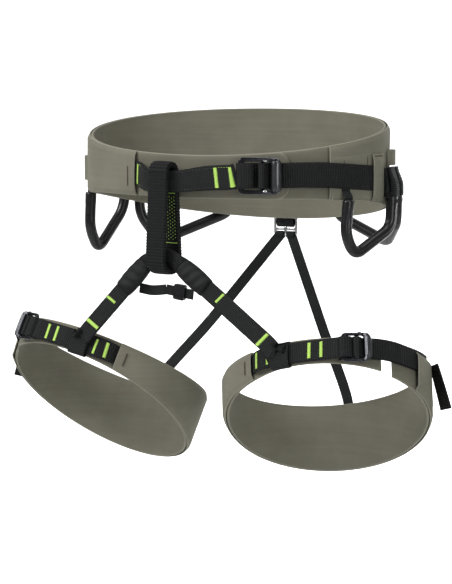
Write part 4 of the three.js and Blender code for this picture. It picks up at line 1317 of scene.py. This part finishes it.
def leg_pieces(side, flip):
    body = f"{side}_leg"

    def name(part):
        return f"{side}_leg_{part}"

    def shell_face(angle, height):
        bump = 2.1 * (1 - smooth(98, 108, angle))
        ripple = 0.2 * np.sin(np.radians(angle * 4 + height * 3))
        return (bump + ripple + 1.0 * lens(angle, 80, 9, height, 9, 17)
                + 1.3 * lens(angle, 338, 8, height, 13, 15))

    def drop(angle):
        return 2.0 + 2.1 * (1 - smooth(98, 108, angle))
    band_sheet(name("shell_skin"), leg, stretches(80, 24, 92, 190, 328, 20, 338),
               bonded_edges(shell_face, drop), SHELL, LAMINATE, body, "laminate",
               [name("shell")], rows=28, flip=flip)

    def liner_face(angle, height):
        return LINER_FACE + 3.2 * smooth(338, 362, angle)
    band_sheet(name("lining"), leg, stretches(61.5, 12, 70, 270, 404, 14, 413),
               bonded_edges(liner_face, 0.5, 3), LINER, LINING, body, "inner_laminate",
               [name("liner")], rows=26, flip=flip)

    b = leg_buckle
    pocket = LINER_FACE + POCKET / 2
    eye_angle, eye_offset = b.locate(b.attach_x - EYE, MIDDLE)
    fixed = band_path(leg, b.webbing, [
        [-32, LEG_LINE - 1, pocket, 18], [-21.7, LEG_LINE - 0.5, pocket, 18, 1.6],
        [-18.5, LEG_LINE, 1.2, 19, 2.0], [-12, LEG_LINE, 4.7, 20, 2.4], [-1, LEG_LINE, 4.05, 20, 2.4],
        [6, LEG_LINE, 4.7, 20, 2.4], [14, LEG_LINE, 4.6, 20, 2.4], [20, LEG_LINE, 4.6, 20, 2.4],
        [eye_angle, LEG_LINE, eye_offset, 20, 2.4]])
    strap(name("strap_webbing"), fixed, WEB, body, "webbing", [name("strap_fixed")],
          layers=2, rib=(LEG_RIB, 0.12), flip=flip, flats=11)
    strap(name("strap_eye"), Path(eye_rows(b, reach=4.0)), WEB, body, "webbing",
          rib=(LEG_RIB, 0.14), flip=flip)
    strap(name("buckle_backing"), backing_path(b), WEB, body, "webbing", rib=(LEG_RIB, 0.1),
          flip=flip)
    tacks = Soup()

    def s_near(angle):
        target = leg.at(angle, LEG_LINE, 4)
        near = np.argmin(np.linalg.norm(fixed.rows[:, :3] - target, axis=1))
        return fixed.s[near]
    for angle in (-15.8, 14.5, 20.4):
        bartack(tacks, fixed.place, s_near(angle), -7.4, 7.4, 3.5, lean=0.05)
    # On the left one more tack is half hidden under the riser; on the right it's clear of it.
    s = s_near(-9.6 if flip else -8.0)
    for i in range(24 if flip else 9):
        y = (-7.2 if flip else -6.5) + 0.62 * i
        reach = np.linspace(-1.4, 1.4 - (0 if flip else 0.3 * i), 5)
        thread(tacks, fixed.place(s + reach, np.full(5, y), np.full(5, 0.3)), 0.38)
    tacks.piece(name("tacks"), LIME, body, "webbing", flip=flip)

    strap_through(
        b, name("strap"), f"{side}_leg_buckle", body, leg.at(60.0, LEG_LINE, 1),
        below_line((52, 0, 1.2), (58, 0.5, 0.2), (65, 1.4, -1.4), (72, 2.5, pocket),
                   (94, 4.5, pocket)),
        below_line((48, 0, 4.3), (58, 0.5, 2.5), (65, 1.4, 1.0), (72, 2.5, -0.2),
                   (94, 4.5, -0.4)),
        "upper", "over", (LEG_RIB, 0.14), flip)
    buckle_pieces(name("strap"), b, f"{side}_leg_buckle", flip)

    # The hanging tail turns outwards; u runs from its hidden top, below 0, to its end at 1.
    rows = []
    twist = math.radians(33)
    for u in np.linspace(-0.36, 1, 8):
        angle = 103.5 + 5.5 * u
        away = math.cos(twist) * leg.tangent(angle) - math.sin(twist) * leg.normal(angle)
        rows.append((*leg.at(angle, 4 - 31 * u, 5.9 + 6.4 * u), 18.2, 1.7, *away))
    path = Path(through(rows, 8))
    bend = (body, f"{side}_leg_tail", *(path.rows[np.argmin(np.abs(path.s - s)), :3]
                                        for s in (8, 20)))
    strap(name("tail_webbing"), path, WEB, bend, "webbing", [name("strap_tail")],
          rib=(LEG_RIB, 0.14), flip=flip, start=1.0)
    folded = Soup()
    for s in (path.length - 8.5, path.length - 10.3):
        stitches(folded, path.place, [(s, -8), (s, 8)], 2.0, 0.8, 0.24)
    folded.piece(name("tail_stitching"), BLACK_THREAD, f"{side}_leg_tail", "webbing", flip=flip)

    brown = Soup()
    place, arc_at = on_band(leg, 0.25)
    bartack(brown, place, arc_at(333.2), 6.5, 19.5, 1.5)
    brown.piece(name("shell_tack"), BROWN, body, "laminate", flip=flip)


# ---------------------------------------------------------------- risers, elastics, connector

def riser_pieces(side, flip):
    body = f"{side}_leg"
    way_x = -1 if flip else 1
    reach = way_x * 23.2
    start = BRIDGE + np.array([reach, -math.tan(YAW) * np.clip(reach, -14, 14), -11.5])
    start[0] *= way_x
    out = leg.normal(WRAP_ANGLE)
    centre = leg.at(WRAP_ANGLE, LEG_LINE, WRAP_OFFSET)
    # Half the leg strap with its clearance, as the riser's layers lie round it.
    strap_half, clearance = 2.5, 0.7
    end = centre + out * (strap_half + clearance + 1.5 - 0.4)
    way = unit(end - start)
    across = unit(np.cross(out, way))
    run = np.linalg.norm(end - start)
    # Down from the bridge, over the leg strap and round behind it.
    bridge_end = BRIDGE + np.array([way_x * 12, -math.tan(YAW) * way_x * 12, -4.0])
    bridge_end[0] *= way_x
    rows = []
    ways = []
    line = [bridge_end, start - way * 3.0, start + way * 12, start + way * run * 0.5,
            start + way * (run - 16), start + way * (run - 5)]
    front, back = strap_half + clearance + 0.55, -(strap_half + clearance + 0.4)
    up = leg.up
    down = [centre + out * front + up * 9, centre + out * front - up * 1,
            centre + out * front - up * 8.5, centre + out * (front * 0.5) - up * 12.3,
            centre + out * (back * 0.5) - up * 12.3, centre + out * back - up * 8.5,
            centre + out * back + up * 8.5, centre + out * (back * 0.5) + up * 12.6]
    for i, p in enumerate(line):
        rows.append((*p, RISER if i else 13, 3.0))
        ways.append(across)
    strap_tangent = leg.tangent(WRAP_ANGLE)
    for p in down:
        rows.append((*p, RISER + 1.6, 1.5))
        ways.append(strap_tangent if across @ strap_tangent > 0 else -strap_tangent)
    rows = np.hstack([np.array(rows), np.array(ways)])
    path = Path(through(rows, 14))
    bend = (BELT, body, bridge_end, start + way * 8)
    strap(f"{side}_riser_webbing", path, WEB_FINE, bend, "webbing", [f"{side}_riser"],
          layers=2, step=1.0, flats=11, flip=flip)

    tacks = Soup()
    near = np.argmin(np.linalg.norm(path.rows[:, :3] - (end - way * 21), axis=1))
    sign = 1 if path.frame(np.array([path.s[near]]))[3][0] @ out > 0 else -1
    s_tack = path.s[near]

    def outward(s, y, z):
        middle, _, cross, normal, _, thickness = path.frame(np.asarray(s, float))
        return (middle + cross * np.asarray(y, float)[..., None]
                + normal * (sign * (np.asarray(z, float) + thickness / 2))[..., None])
    bartack(tacks, outward, s_tack, -7.4, 7.4, 3.9, lean=0.1)
    top = path.s[np.argmin(np.linalg.norm(path.rows[:, :3] - (start + way * 48), axis=1))]
    bartack(tacks, outward, top, -3.6, 7.4, 3.0, lean=0.12)
    tacks.piece(f"{side}_riser_tacks", LIME, body, "webbing", flip=flip)

    # Padded sleeve: a flattened tube, slack at its ends.
    face = unit(np.cross(way, across))
    length, half_width, half_depth = 31.0, 9.2, 4.9
    rings = []
    for t in np.linspace(-0.12, 1, 46):
        swell = 1 + 0.10 * math.sin(math.pi * np.clip(t, 0, 1)) - 0.16 * max(0, -t) / 0.12
        pinch = 1 - 0.55 * (1 - float(smooth(0, 0.05, 1 - t)))
        ring = []
        for a in np.linspace(0, 2 * math.pi, 40, endpoint=False):
            x = half_width * swell * np.sign(math.cos(a)) * abs(math.cos(a)) ** 0.85
            z = half_depth * swell * pinch * np.sign(math.sin(a)) * abs(math.sin(a)) ** 0.8
            z += 0.35 * math.sin(t * 21 + a * 2) * (1 if math.sin(a) > 0 else 0.4)
            ring.append(start + way * (0.5 + t * length) + across * x + face * z)
        rings.append(ring)
    rings = np.array(rings)
    turn = np.linspace(0, 60, 40, endpoint=False)
    uvs = np.stack(np.meshgrid(np.linspace(0, length, 46), turn, indexing="ij"), -1)
    bend = (BELT, body, start - way * 5, start + way * 10)
    sleeve = piece(f"{side}_riser_pad", *grid(rings, uvs)[:3], CLOTH, bend, "soft_webbing",
                   [f"{side}_riser_sleeve"], flip)

    hook = waist.at(HOOK_ANGLE, HOOK_HEIGHT - HOOK_HALF_HEIGHT, HOOK_OFFSET)
    hook[0] *= way_x
    back_angle = 185 if flip else 190
    top_point = hook + np.array([6.1, 0, 1.5])
    high = float(leg.top(back_angle))
    rim = leg.at(back_angle, high + 4, 3.4)
    foot = leg.at(back_angle, high - 14, 3.2)
    middle = top_point * 0.45 + rim * 0.55 + np.array([0, 1, -2])
    flat = unit(np.cross([0, 1, 0], rim - top_point))
    elastic = space_path([top_point, middle, rim, foot], 11.5, 1.6, flat, 16)
    bend = (BELT, body, top_point, top_point + unit(rim - top_point) * 30)
    strap(f"{side}_rear_elastic_tape", elastic, CLOTH, bend, "soft_webbing",
          [f"{side}_rear_elastic"], rib=(3.0, 0.12), flip=flip)
    stitch = Soup()
    place, arc_at = on_band(leg, 4.1)
    bartack(stitch, place, arc_at(back_angle), high - 12, high - 5, 8, lift=0.0)
    stitch.piece(f"{side}_rear_elastic_tack", BLACK_THREAD, body, "soft_webbing", flip=flip)


def connector():
    low = np.array([-24, -106, -113.0])
    right, left = np.array([-50.5, -106.6, -112.5]), np.array([8, -107, -116.5])
    sag = (low + right) / 2 + np.array([0, 0, -1.5])
    up = (0, 0, 1)
    seam = low + np.array([2.4, 0, 0.4])
    lines = {"right": [right, sag, low, seam], "left": [seam, (seam + left) / 2, left]}
    for side, line in lines.items():
        strap(f"connector_tape_{side}", space_path(line, 10, 1.2, up), CLOTH, BELT,
              "soft_webbing", [f"connector_strap_{side}"], rib=(2.2, 0.1))


def cad_finishes():
    """The solids kept as they are: rounded edges and their own procedural finish."""
    for node, material in (("connector_slider", PLASTIC), ("waist_core", SHEET),
                           ("left_leg_core", SHEET), ("right_leg_core", SHEET)):
        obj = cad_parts[node]
        obj.data.materials.clear()
        obj.data.materials.append(material)
        if "core" not in node:
            bevel = obj.modifiers.new("rounded", "BEVEL")
            bevel.width = 0.5 * MM
            bevel.segments = 3
            bevel.limit_method = "ANGLE"
            bevel.angle_limit = math.radians(30)


waist_belt()
waist_straps()
belay_loop()
gear_racking()
rear_pieces()
for side_name, mirrored in (("left", False), ("right", True)):
    leg_pieces(side_name, mirrored)
    riser_pieces(side_name, mirrored)
connector()
cad_finishes()
